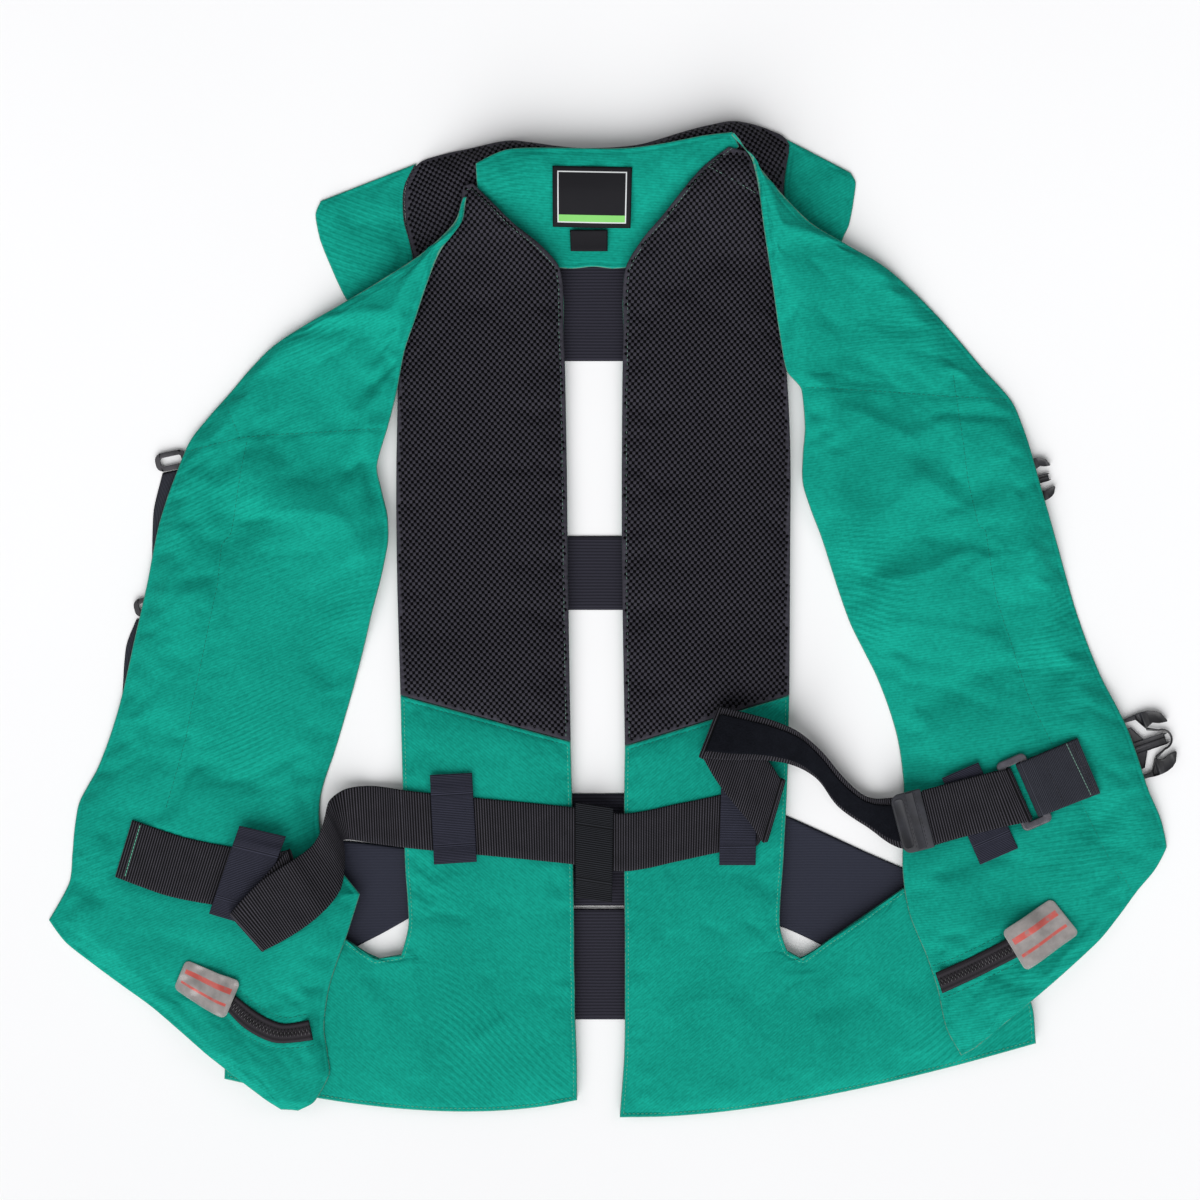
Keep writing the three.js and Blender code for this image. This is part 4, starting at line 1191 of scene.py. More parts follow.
def fuzzy_pile():
    """Black loop pile, matt and uneven."""
    finish = Finish("fuzzy_pile", Specular_IOR_Level=0.04)
    place, _, _ = finish.place(0)
    tufts = finish.speckle(place, scale=900, detail=3)
    flow = finish.speckle(place, scale=120, detail=3)
    finish.set("Base Color", finish.mix(tufts * 0.6 + flow * 0.4, *TONES["fuzzy_pile"]))
    finish.set("Roughness", 0.85 + 0.1 * tufts)
    finish.relief(tufts * 0.7 + flow * 0.5, deep=0.8 * MM, strength=0.9)
    return finish.material


def moulded(name, rough, grain):
    """Moulded plastic or rubber with a faint grain and rubbed places."""
    finish = Finish(name, Specular_IOR_Level=0.5)
    place, _, _ = finish.place(0)
    speck = finish.speckle(place, scale=grain, detail=3)
    rub = finish.speckle(place, scale=70, detail=4)
    finish.set("Base Color", finish.mix(rub.ramp(0.35, 0.75), *TONES[name]))
    finish.set("Roughness", rough + 0.16 * rub)
    finish.relief(speck, deep=0.05 * MM, strength=0.5)
    return finish.material


def sewing_thread(name, dark, light):
    """Twisted thread."""
    finish = Finish(name, Specular_IOR_Level=0.25)
    place, _, _ = finish.place(0)
    twist = finish.speckle(place, scale=1500, detail=1)
    finish.set("Base Color", finish.mix(twist, dark, light))
    finish.set("Roughness", 0.6 + 0.2 * twist)
    finish.relief(twist, deep=0.08 * MM, strength=0.6)
    return finish.material


def woven_label(name, wide, long, framed):
    """Black woven label; the larger one has a pale frame and a green bar at its foot."""
    finish = Finish(name, Specular_IOR_Level=0.2)
    _, across, along = finish.cloth()
    threads = weave(across, along, LABEL_PITCH)
    cloth = finish.mix(threads, *TONES["woven_label"])
    if framed:
        soft = FRAME_SOFT_EDGE
        inside = FRAME_EDGE + FRAME_LINE
        outer, inner = (
            across.between(edge, wide - edge, soft) * along.between(edge, long - edge, soft)
            for edge in (FRAME_EDGE, inside)
        )
        foot = inner * along.between(inside, inside + FOOT_HIGH, soft)
        cloth = finish.mix(outer - inner, cloth, FRAME_PALE)
        cloth = finish.mix(foot, cloth, FOOT_GREEN)
    finish.set("Base Color", cloth)
    finish.set("Roughness", 0.65 + 0.2 * threads)
    finish.relief(threads, deep=0.1 * MM, strength=0.6)
    return finish.material


def tag_film(name, wide, long):
    """Grey film with a clear rim and two coral bars along it."""
    finish = Finish(name, Specular_IOR_Level=0.5, Coat_Weight=0.3, Coat_Roughness=0.15)
    place, across, along = finish.cloth()
    scuff = finish.speckle(place, scale=160, detail=3)
    rim = finish.mark("rim")
    body = finish.mix(scuff, *TONES["tag_film"])
    start, stop = (share * wide for share in TAG_BAR_ENDS)
    for low, high in TAG_BARS:
        bar = along.between(low * long, high * long, TAG_SOFT_EDGE)
        bar = bar * across.between(start, stop, TAG_SOFT_EDGE)
        body = finish.mix(bar * scuff.ramp(0.2, 0.45), body, BAR_CORAL)
    clear = 1 - rim.ramp(*CLEAR_RIM)
    finish.set("Base Color", finish.mix(clear * 0.8, body, RIM_GREY))
    finish.set("Alpha", 0.94 - 0.3 * clear)
    finish.set("Roughness", 0.25 + 0.25 * scuff)
    finish.relief(scuff, deep=0.3 * MM, strength=0.5)
    return finish.material


def zip_tape(name):
    """Black woven zip tape with raised lines along it."""
    finish = Finish(name, Specular_IOR_Level=0.25)
    _, across, along = finish.cloth()
    threads = weave(across, along, THREAD_PITCH)
    ridge = (along * (2 * math.pi / TAPE_RIDGE)).sine() * 0.5 + 0.5
    finish.set("Base Color", finish.mix(threads * 0.5 + ridge * 0.5, *TONES["zip_tape"]))
    finish.set("Roughness", 0.7 + 0.15 * threads)
    finish.relief(threads * 0.4 + ridge, deep=0.3 * MM, strength=0.7)
    return finish.material


# Threads of the vest

THREADS = table("name slot dark light", (
    ("green", "green_cloth", (10, 112, 96), (20, 138, 120)),
    ("light", "green_cloth", (66, 158, 130), (120, 204, 172)),
    ("pale", "spacer_mesh", (84, 120, 108), (130, 165, 150)),
    ("black", "webbing", (18, 17, 20), (70, 68, 74)),
))
threads = {}
for row in THREADS:
    thread_finish = sewing_thread("thread_" + row["name"], linear(*row["dark"]), linear(*row["light"]))
    threads[row["name"]] = Thread("stitches_" + row["name"], thread_finish, row["slot"])
FINE_STITCH = {"long": 1.9 * MM, "gap": 1.1 * MM, "thick": 0.42 * MM}
CLOSE_STITCH = {"long": 2.4 * MM, "gap": 0.1 * MM, "thick": 0.6 * MM}
# A thick dark cord of painted shadow, laid in a gap
GAP_SHADOW_CORD = {"long": 3 * MM, "gap": 0.0, "thick": 1.4 * MM}

# Stitched stretches of a rim, and one dark cord of painted shadow, counterclockwise between two places in
# millimetres
RIM_STITCHES = table("node thread stitch inset start end", (
    ("back_mesh_left", "pale", FINE_STITCH, 3.2, (-26.5, -87), (-100, 310)),
    ("back_mesh_left", "black", FINE_STITCH, 3.2, (-100, 310), (-26.5, -87)),
    ("back_mesh_right", "pale", FINE_STITCH, 3.2, (66, 315), (12, -89)),
    ("back_mesh_right", "black", FINE_STITCH, 3.2, (12, -89), (66, 315)),
    ("back_lining_left", "light", FINE_STITCH, 2.4, (-146, -53), (-26.5, -87)),
    ("back_lining_left", "green", FINE_STITCH, 3.4, (-26.5, -87), (-146, -53)),
    ("back_lining_right", "light", FINE_STITCH, 2.4, (12, -89), (127, -54)),
    ("back_lining_right", "green", FINE_STITCH, 3.4, (127, -54), (12, -89)),
    # Painted shadow: a black cord in the gap between the left shoulder flap and the collar
    ("shoulder_wing_left", "black", GAP_SHADOW_CORD, 0.3, (-137, 252.5), (-135, 320)),
))

# Rows of stitches across a piece, in millimetres
CROSS_STITCHES = table("node thread stitch start end", (
    ("back_mesh_right", "pale", FINE_STITCH, (66, 315.7), (103.7, 296)),
    ("back_mesh_right", "pale", FINE_STITCH, (70, 315), (89, 330)),
    ("waist_belt", "light", CLOSE_STITCH, (-328.2, -144.3), (-339.4, -182.1)),
    ("waist_belt", "black", FINE_STITCH, (264, -109), (276.5, -143)),
    ("ring_anchor", "pale", CLOSE_STITCH, (319.3, -86.9), (336.8, -123.3)),
    ("ring_anchor", "black", FINE_STITCH, (304.6, -102.3), (318.6, -130.3)),
    ("ring_anchor", "black", CLOSE_STITCH, (321.6, -85.8), (339.1, -122.2)),
    ("ring_anchor", "black", CLOSE_STITCH, (323.8, -84.7), (341.3, -121.1)),
))


def sew_rims(node, panel, surface):
    """Sews the stretches of a panel's rim that the table gives."""
    for row in RIM_STITCHES:
        if row["node"] == node:
            line = stretch(panel.inset_line(row["inset"] * MM), row["start"], row["end"])
            threads[row["thread"]].sew(line, surface, **row["stitch"])


def sew_across(node, surface):
    """Sews the rows of stitches that cross a piece."""
    for row in CROSS_STITCHES:
        if row["node"] == node:
            line = in_plan((row["start"], row["end"]))
            threads[row["thread"]].sew(line, surface, **row["stitch"])


# Cloth pieces


def named_solids(*names):
    """The surface of some solids of the frame."""
    return Surface([solid_mesh(name) for name in names])


# What lies on each panel
LAID_ABOVE = {
    "front_panel_left": ("waist_belt", "belt_loop_front_left", "zipper_left", "film_tag_left"),
    "front_panel_right": (
        "waist_belt", "belt_fleece", "belt_loop_front_right", "ring_anchor", "belt_ring",
        "zipper_right", "film_tag_right",
    ),
    "back_lining_left": ("waist_belt", "belt_loop_back_left", "belt_loop_spine", "front_panel_left"),
    "back_lining_right": ("waist_belt", "belt_fleece", "belt_loop_back_right", "front_panel_right"),
    "neck_yoke": (
        "neck_label", "size_label", "back_mesh_left", "back_mesh_right", "front_panel_left",
        "front_panel_right",
    ),
    "back_mesh_left": ("front_panel_left",),
    "back_mesh_right": ("front_panel_right", "waist_belt", "belt_fleece"),
    "collar_mesh": (
        "front_panel_left", "front_panel_right", "neck_yoke", "back_mesh_left", "back_mesh_right",
    ),
}


def zip_seams(node):
    """The two stitched lines in the cloth along a zip, in millimetres."""
    grid = Panel(node, TAPE_STEP, ()).upper[..., :2]
    middle = grid.mean(axis=0)
    seams = []
    for edge in (grid[0], grid[-1]):
        outward = edge - middle
        outward /= np.linalg.norm(outward, axis=1, keepdims=True)
        seams.append((edge + ZIP_SEAM * outward - PLAN_ZERO) / MM)
    return tuple(seams)


def shaped_panel(node, folds=(), seams=(), step=CLOTH_STEP, pressure=0.0, cap=0.0, ripple=0.0, seed=1):
    """A panel filled, folded, sewn and pressed under what lies on it."""
    panel = Panel(node, step)
    if pressure:
        panel.fill(pressure, cap, seams)
    panel.fold(folds)
    if ripple:
        panel.ripple(ripple, seed)
    for seam in seams:
        panel.groove(seam)
    panel.sew_hem()
    if node in LAID_ABOVE:
        panel.press(named_solids(*LAID_ABOVE[node]))
    panel.round_rim()
    return panel


def green_panels():
    """The fronts, linings, yoke and shoulder flaps, and the plain shells under them."""
    left_seams = FRONT_LEFT_SEAMS + zip_seams("zipper_left")
    right_seams = FRONT_RIGHT_SEAMS + zip_seams("zipper_right")
    rows = table("node turn folds seams pressure cap ripple fill", (
        ("front_panel_left", -22, FRONT_LEFT_FOLDS, left_seams, 1.2, 3 * MM, 1.1 * MM, 0.3),
        ("front_panel_right", -8, FRONT_RIGHT_FOLDS, right_seams, 1.2, 3 * MM, 1.1 * MM, 0.3),
        ("back_lining_left", 40, LINING_LEFT_FOLDS, (), 0.6, 1.2 * MM, 0.6 * MM, 0.2),
        ("back_lining_right", -40, LINING_RIGHT_FOLDS, (), 0.6, 1.2 * MM, 0.6 * MM, 0.2),
        ("neck_yoke", 4, (), (), 0.4, 1 * MM, 0.4 * MM, 0.2),
        ("shoulder_wing_left", 20, WING_LEFT_FOLDS, (), 0.6, 1.2 * MM, 0.6 * MM, 0.2),
        ("shoulder_wing_right", -30, (), (), 0.6, 1.2 * MM, 0.6 * MM, 0.2),
    ))
    for seed, row in enumerate(rows):
        shape = {key: row[key] for key in ("folds", "seams", "pressure", "cap", "ripple")}
        panel = shaped_panel(row["node"], seed=seed, **shape)
        finish = green_cloth("green_" + row["node"], row["turn"])
        piece = panel.piece(row["node"] + "_cloth", finish, "green_cloth")
        surface = surface_of(piece)
        sew_rims(row["node"], panel, surface)
        for seam in row["seams"]:
            threads["green"].sew(in_plan(seam), surface)
    for node in ("back_shell_left", "back_shell_right"):
        panel = shaped_panel(node, step=SHELL_STEP)
        piece = panel.piece(node + "_cloth", green_cloth("green_" + node, 0), "green_cloth")


def hole_lattice(low, high, turn):
    """Centres of staggered holes over a box seen from above."""
    count = int(np.linalg.norm(high - low) / HOLE_ALONG) // 2 + 2
    rows, columns = np.meshgrid(np.arange(-count, count), np.arange(-count, count))
    x = (columns + 0.5 * (rows % 2)) * HOLE_ACROSS
    places = np.stack([x, rows * HOLE_ALONG], axis=-1).reshape(-1, 2)
    places = places @ plan_turn(turn).T + (low + high) / 2
    return places[((places > low) & (places < high)).all(axis=1)]


def plan_turn(degrees):
    """The matrix that turns places seen from above."""
    cos, sin = math.cos(math.radians(degrees)), math.sin(math.radians(degrees))
    return np.array(((cos, -sin), (sin, cos)))


def ring_around(centres, scale, turn):
    """Points round the rim of each hole."""
    angles = 2 * np.pi * np.arange(HOLE_SIDES) / HOLE_SIDES
    ring = scale * np.stack([HOLE_WIDE * np.cos(angles), HOLE_LONG * np.sin(angles)], axis=-1)
    return (centres[:, None] + (ring @ plan_turn(turn).T)[None]).reshape(-1, 2)


def net_piece(panel, name, finish, turn):
    """A pad whose upper face is a net of small holes inside a plain sewn rim."""
    points, faces, _, _ = panel.mesh()
    surface = Surface([(points, faces)])
    outline = rim_of(panel.upper)
    tree = plan_tree(outline)
    border = np.zeros(panel.rim.shape, bool)
    border[[0, -1]] = border[:, [0, -1]] = True
    near = panel.upper[(panel.rim < NET_INSET) & ~border]
    corners = outline[:, :2]
    centres = hole_lattice(corners.min(axis=0), corners.max(axis=0), turn)
    inside = np.array([surface.top(*centre)[0] is not None for centre in centres])
    centres = centres[inside]
    centres = centres[plan_distance(centres, tree) > NET_INSET + HOLE_LONG]
    crests = centres + plan_turn(turn) @ (0.5 * HOLE_ACROSS, 0)
    crests = crests[plan_distance(crests, tree) > NET_INSET]
    # The last number of each group marks the hole floors, which the finish paints with shade
    groups = (
        (crests, BAR_CREST, 0.0),
        (ring_around(centres, 1, turn), 0.0, 0.0),
        (ring_around(centres, HOLE_FLOOR, turn), -HOLE_DEEP, 1.0),
        (centres, -HOLE_DEEP, 1.0),
    )
    net, holes = [], []
    for places, lift, hole in groups:
        for x, y in places:
            spot, _ = surface.top(x, y)
            if spot is not None:
                net.append((x, y, spot.z + lift))
                holes.append(hole)
    upper = np.concatenate([outline, near, np.array(net)])
    mark = np.concatenate([np.zeros(len(outline) + len(near)), holes])
    rim_edges = [(k, (k + 1) % len(outline)) for k in range(len(outline))]
    flat = [Vector(point[:2]) for point in upper]
    _, _, sides, origins, _, _ = delaunay_2d_cdt(flat, rim_edges, [], 1, TINY)
    first = [origin[0] for origin in origins]
    upper_faces = [[first[place] for place in side] for side in sides]
    lower = rim_of_places(panel.rim.shape, len(upper))
    inner = panel.lower[1:-1, 1:-1].reshape(-1, 3)
    points = np.concatenate([upper, inner])
    marks = {"hole": np.concatenate([mark, np.zeros(len(inner))])}
    faces = upper_faces + quads(lower[:, ::-1])
    return make_piece(name, points, faces, finish, [panel.node], None, marks)


def rim_of_places(shape, start):
    """A grid of places whose border counts round the outline and whose inside counts on from start."""
    places = np.empty(shape, int)
    count = (shape[0] - 2) * (shape[1] - 2)
    places[1:-1, 1:-1] = start + np.arange(count).reshape(shape[0] - 2, shape[1] - 2)
    ring = rim_of(np.arange(shape[0] * shape[1]).reshape(shape))
    rows, columns = np.unravel_index(ring, shape)
    places[rows, columns] = np.arange(len(ring))
    return places


def mesh_pads():
    """The two back pads and the collar roll."""
    finish = spacer_mesh()
    rows = table("node folds pressure cap turn fill", (
        ("back_mesh_left", MESH_LEFT_FOLDS, 0.8, 1.6 * MM, 4, 0.6),
        ("back_mesh_right", MESH_RIGHT_FOLDS, 0.8, 1.6 * MM, -4, 0.6),
        ("collar_mesh", (), 0.8, 1.4 * MM, 15, 0.7),
    ))
    for row in rows:
        node = row["node"]
        panel = shaped_panel(node, row["folds"], pressure=row["pressure"], cap=row["cap"])
        piece = net_piece(panel, node + "_net", finish, row["turn"])
        if node != "collar_mesh":
            surface = surface_of(piece)
            sew_rims(node, panel, surface)
            sew_across(node, surface)


def elastic_bands():
    """The bands across the spine gap and the side gussets."""
    band = ribbed_elastic("band_elastic", pitch=2.2 * MM)
    gusset = ribbed_elastic("gusset_elastic", pitch=1.1 * MM)
    names = ("spine_band_top", "spine_band_mid", "spine_band_belt", "spine_band_low")
    for node in names + ("side_gusset_left", "side_gusset_right"):
        panel = Panel(node, TAPE_STEP, ())
        panel.round_rim(BAND_ROUND)
        piece = panel.piece(node + "_elastic", band if node in names else gusset, "elastic")


def pile_rings(belt):
    """Rings for the loop pile on the belt's tail, from its last fold to its moulded end."""
    ends = strap_rings("belt_fleece")[[0, -1]].mean(axis=1)
    middles = belt.mean(axis=1)
    first, last = (np.argmin(np.linalg.norm(middles - end, axis=1)) for end in ends)
    tail = belt[first - PILE_BEFORE : last + PILE_AFTER]
    across = tail[:, 1] - tail[:, 0]
    up = tail[:, 0] - tail[:, 3]
    up /= np.linalg.norm(up, axis=1, keepdims=True)
    left, right = PILE_EDGE, 1 - PILE_EDGE
    corners = (left, PILE_HIGH), (right, PILE_HIGH), (right, PILE_LOW), (left, PILE_LOW)
    return np.stack([tail[:, 0] + share * across + lift * up for share, lift in corners], axis=1)


def strap_piece(name, node, rings, finish, step, spans, rib=0.0):
    """A woven strap that stands for its solid."""
    points, faces, uv = strap_mesh(rings, step, strap_profile(spans), rib)
    piece = make_piece(name, points, faces, finish, [node], uv)
    straighten(piece)
    return piece


def straps():
    """The belt with its pile, the ring's anchor, the belt loops and the short side straps."""
    weaves = table("name pitch warp_pitch rough", (
        ("belt_webbing", RIB_PITCH, 1.7 * MM, 0.55),
        ("anchor_webbing", 1.1 * MM, 0.9 * MM, 0.6),
        ("loop_grosgrain", 1.1 * MM, 0.9 * MM, 0.6),
        ("spine_grosgrain", 1.4 * MM, 1.2 * MM, 0.6),
    ))
    web, fine_web, tape, dark_tape = (woven_strap(**row) for row in weaves)
    fine = RIB_PITCH / RIB_SAMPLES
    for node, finish, rib in (("waist_belt", web, RIB_HIGH), ("ring_anchor", fine_web, ANCHOR_RIB)):
        rings = strap_rings(node)
        piece = strap_piece(node + "_webbing", node, rings, finish, fine, spans=8, rib=rib)
        sew_across(node, surface_of(piece))
    pile = pile_rings(strap_rings("waist_belt"))
    strap_piece("belt_fleece_pile", "belt_fleece", pile, fuzzy_pile(), PILE_STEP, spans=16)
    for node in sorted(name for name in nodes if name.startswith("belt_loop")):
        finish = dark_tape if node == "belt_loop_spine" else tape
        rings = strap_rings(node)
        strap_piece(node + "_tape", node, rings, finish, LOOP_STEP, spans=12, rib=LOOP_RIB)
    for node in ("buckle_strap_upper", "buckle_strap_lower", "edge_strap_upper", "edge_strap_lower"):
        panel = Panel(node, TAPE_STEP, ())
        panel.round_rim(STRAP_ROUND)
        panel.piece(node + "_webbing", fine_web, "webbing")


def labels_and_tags():
    """The two woven labels and the film tags over the zips' ends."""
    for node, framed in (("neck_label", True), ("size_label", False)):
        panel = Panel(node, LABEL_STEP, ())
        panel.round_rim(LABEL_ROUND)
        finish = woven_label(node + "_weave", panel.across[-1], panel.along[-1], framed)
        piece = panel.piece(node + "_woven", finish, "label")
    tags = table("node front crumple", (
        ("film_tag_left", "front_panel_left", 2.2 * MM),
        ("film_tag_right", "front_panel_right", 0.8 * MM),
    ))
    for row in tags:
        node = row["node"]
        panel = Panel(node, LABEL_STEP)
        panel.round_corners(TAG_CORNER)
        for place in np.ndindex(panel.rim.shape):
            x, y, _ = panel.upper[place] / CRUMPLE_WIDE
            lift = row["crumple"] * (noise.fractal((x, y, CRUMPLE_SEED), *CRUMPLE_NOISE) + CRUMPLE_LIFT)
            panel.upper[place][2] += lift
            panel.lower[place][2] += lift
        panel.round_rim(FILM_ROUND)
        finish = tag_film(node + "_plastic", panel.across[-1], panel.along[-1])
        piece = panel.piece(node + "_film", finish, "film")


def zips():
    """The zip tapes and their coils."""
    nylon = moulded("coil_nylon", rough=0.3, grain=900)
    coils = Thread("zip_coils", nylon, "zip")
    for node, front in (("zipper_left", "front_panel_left"), ("zipper_right", "front_panel_right")):
        panel = Panel(node, LABEL_STEP, ())
        panel.round_rim(LABEL_ROUND)
        tape = zip_tape("zip_tape_" + str(round(panel.across[-1] / MM)))
        piece = panel.piece(node + "_tape", tape, "zip")
        middle = panel.upper[len(panel.upper) // 2]
        places = np.arange(COIL_PITCH, panel.across[-1] - COIL_PITCH, COIL_PITCH)
        line = np.stack([np.interp(places, panel.across, middle[:, axis]) for axis in range(3)], axis=-1)
        runs = np.gradient(line, axis=0)
        asides = np.cross((0, 0, 1), runs)
        asides /= np.linalg.norm(asides, axis=1, keepdims=True)
        sides = np.where(np.arange(len(line)) % 2, 1, -1)[:, None]
        ups = np.tile((0.0, 0.0, 1.0), (len(line), 1))
        line[:, 2] += COIL_LIFT
        starts, ends = line - COIL_BACK * sides * asides, line + COIL_AHEAD * sides * asides
        coils.gather(*capsules(starts, ends, ups, COIL_THICK))
    coils.piece()


# Hard pieces, shaped from blocks in millimetres


def start_block(size, place):
    """A block of some size with its middle at a place, left in edit mode."""
    bpy.ops.object.select_all(action="DESELECT")
    bpy.ops.mesh.primitive_cube_add(size=MM)
    block = bpy.context.object
    bpy.ops.object.mode_set(mode="EDIT")
    bpy.ops.transform.resize(value=size, center_override=(0, 0, 0))
    bpy.ops.transform.translate(value=[value * MM for value in place])
    return block


def pick_faces(block, test):
    """Selects the faces whose middle, in millimetres, and normal pass a test."""
    bpy.ops.mesh.select_mode(type="FACE")
    bpy.ops.mesh.select_all(action="DESELECT")
    work = bmesh.from_edit_mesh(block.data)
    for face in work.faces:
        face.select_set(bool(test(face.calc_center_median() / MM, face.normal)))
    bmesh.update_edit_mesh(block.data)


def pick_edges(block, test):
    """Selects the edges whose middle, in millimetres, and direction pass a test."""
    bpy.ops.mesh.select_mode(type="EDGE")
    bpy.ops.mesh.select_all(action="DESELECT")
    work = bmesh.from_edit_mesh(block.data)
    for edge in work.edges:
        a, b = (corner.co for corner in edge.verts)
        edge.select_set(bool(test((a + b) / (2 * MM), (b - a).normalized())))
    bmesh.update_edit_mesh(block.data)


def round_uprights(block, radius, test=lambda middle: True):
    """Rounds the upright edges of a block whose middles pass a test."""
    pick_edges(block, lambda middle, run: abs(run.z) > FACING and test(middle))
    bpy.ops.mesh.bevel(offset=radius * MM, segments=5, affect="EDGES")


def open_frame(block, bar):
    """Cuts an opening through a block and leaves a bar of some width round it."""
    pick_faces(block, lambda middle, normal: abs(normal.z) > FACING)
    bpy.ops.mesh.inset(thickness=bar * MM, use_individual=True)
    bpy.ops.mesh.bridge_edge_loops()


def sink_top(block, rim, deep, test=lambda middle: True):
    """Sinks the upper faces that pass a test, inside a rim."""
    pick_faces(block, lambda middle, normal: normal.z > FACING and test(middle))
    bpy.ops.mesh.inset(thickness=rim * MM, depth=-deep * MM)


def soften(block, radius):
    """Leaves edit mode and rounds the sharp edges of a block."""
    bpy.ops.object.mode_set(mode="OBJECT")
    rounding = block.modifiers.new("Rounding", "BEVEL")
    rounding.width = radius * MM
    rounding.segments = 3
    rounding.limit_method = "ANGLE"
    rounding.angle_limit = math.radians(35)
    bpy.ops.object.modifier_apply(modifier=rounding.name)
    bpy.ops.object.shade_smooth_by_angle(angle=math.radians(40))
    return block


def set_in_place(blocks, name, node, finish, spot, turn):
    """Joins blocks into one piece, turned and moved to where its solid is."""
    bpy.ops.object.select_all(action="DESELECT")
    for block in blocks:
        block.select_set(True)
    piece = blocks[0]
    bpy.context.view_layer.objects.active = piece
    bpy.ops.object.join()
    piece.name = piece.data.name = name
    piece.rotation_euler.z = math.radians(turn)
    piece.location = spot
    bpy.ops.object.transform_apply()
    piece.data.materials.clear()
    piece.data.materials.append(finish)
    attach(piece, "root")
    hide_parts(node)
    return piece


def own_spot(node, turn, back=None):
    """Where a turned solid's middle lies on its lower face, or a point some way ahead of its back end."""
    points, _ = solid_mesh(node)
    spin = plan_turn(turn)
    own = points[:, :2] @ spin
    low, high = own.min(axis=0), own.max(axis=0)
    middle = (low + high) / 2
    if back is not None:
        middle[0] = low[0] + back * MM
    return (*(spin @ middle), points[:, 2].min())


def frame_piece(node, size, bar, corner, turn, finish):
    """A flat frame with round corners: the belt's ring or a strap's slide."""
    length, _, thick = size
    block = start_block(size, (0, 0, thick / 2))
    open_frame(block, bar)
    outer, inner = 0.5 * length - 0.5 * bar, 0.5 * length - INNER_REACH * bar
    round_uprights(block, corner, lambda middle: abs(middle.x) > outer)
    round_uprights(block, INNER_CORNER * corner, lambda middle: abs(middle.x) < inner)
    soften(block, FRAME_SOFT * thick)
    set_in_place([block], node + "_frame", node, finish, own_spot(node, turn), turn)


def end_tab(finish):
    """The belt's rubber end: a pad in a raised frame, then a plain strip between two stitched lines."""
    node = "belt_end_tab"
    length, width, thick = TAB_SIZE
    low, middle = thick - TAB_STEP, thick - TAB_BELOW
    body = start_block((length, width, low), (0, 0, low / 2))
    round_uprights(body, TAB_FRONT_CORNER, lambda place: place.x > 0)
    round_uprights(body, TAB_BACK_CORNER, lambda place: place.x < -TAB_BACK_REACH * length)
    soften(body, radius=0.7)
    pad = start_block((PAD_LONG, width - PAD_SHY, TAB_RAISED), (PAD_PLACE, 0, middle))
    round_uprights(pad, PAD_CORNER)
    sink_top(pad, rim=0.9, deep=0.5)
    soften(pad, radius=0.25)
    strip = start_block((STRIP_LONG, width - STRIP_SHY, TAB_RAISED), (STRIP_PLACE, 0, middle))
    sink_top(strip, rim=0.7, deep=0.2)
    soften(strip, radius=0.4)
    belt = strap_rings("waist_belt").mean(axis=1)
    ahead = belt[-1] - belt[-2]
    turn = math.degrees(math.atan2(ahead[1], ahead[0]))
    spot = own_spot(node, turn)
    tab = set_in_place([body, pad, strip], node + "_rubber", node, finish, spot, turn)
    surface = surface_of(tab)
    reach = TAB_STITCH_REACH * width
    for along in TAB_STITCHES:
        ends = np.array(((along, -reach), (along, reach))) * MM
        threads["black"].sew(ends @ plan_turn(turn).T + spot[:2], surface, **FINE_STITCH)


def drawn_block(stations, reach, half, thick, low):
    """A block drawn out along x through stations, each with its inner and outer edge."""
    first = stations[0]
    middle, wide = (first["inner"] + first["outer"]) / 2, abs(first["outer"] - first["inner"])
    start = (first["along"] * reach - FIRST_LONG / 2, middle * half, low + thick / 2)
    block = start_block((FIRST_LONG, wide * half, thick), start)
    pick_faces(block, lambda _, normal: normal.x > FACING)
    for before, after in zip(stations[:-1], stations[1:]):
        ahead = (after["inner"] + after["outer"]) / 2
        step = ((after["along"] - before["along"]) * reach, (ahead - middle) * half, 0)
        bpy.ops.mesh.extrude_region_move(TRANSFORM_OT_translate={"value": [value * MM for value in step]})
        share = abs(after["outer"] - after["inner"]) / wide
        spot = (after["along"] * reach * MM, ahead * half * MM, 0)
        bpy.ops.transform.resize(value=(1, share, 1), center_override=spot)
        middle, wide = ahead, wide * share
    return block


def plug_arm(width, reach, side):
    """One springy arm of a plug: a thin neck, a hook, and a head with a hollow that narrows to its tip."""
    block = drawn_block(ARM_STATIONS, reach, side * width / 2, BUCKLE_THICK - 2 * ARM_SHY, ARM_SHY)
    for (start, stop), deep in ((HOOK_SPAN, HOOK_DEEP), (HEAD_SPAN, HEAD_DEEP)):
        sink_top(block, ARM_RIM * width, deep, lambda middle: start * reach < middle.x < stop * reach)
    return soften(block, radius=0.4)


def plug_plate(width, reach):
    """The sunk plate between the arms of a plug."""
    block = drawn_block(PLATE_STATIONS, reach, width / 2, PLATE_THICK, PLATE_LOW)
    sink_top(block, PLATE_RIM, PLATE_SUNK)
    return soften(block, radius=0.3)


def plug_guide(width, reach):
    """The middle bar of a plug with a rail along it and two horns at its end."""
    half = GUIDE_HALF * width
    long = GUIDE_LONG * reach
    bar = start_block((long, 2 * half, GUIDE_THICK), (long / 2, 0, GUIDE_MIDDLE))
    sink_top(bar, GUIDE_RIM * half, GUIDE_SUNK)
    blocks = [soften(bar, radius=0.3)]
    rail = start_block((long - RAIL_SHY, RAIL_WIDE * half, RAIL_THICK), (long / 2, 0, RAIL_MIDDLE))
    blocks.append(soften(rail, radius=0.35))
    for side in (-1, 1):
        place = (HORN_PLACE * reach, side * HORN_ASIDE * half, GUIDE_MIDDLE)
        horn = start_block((HORN_LONG * reach, HORN_WIDE * half, HORN_THICK), place)
        pick_faces(horn, lambda _, normal: normal.x > FACING)
        bpy.ops.transform.resize(value=HORN_TIP)
        blocks.append(soften(horn, radius=0.2))
    return blocks


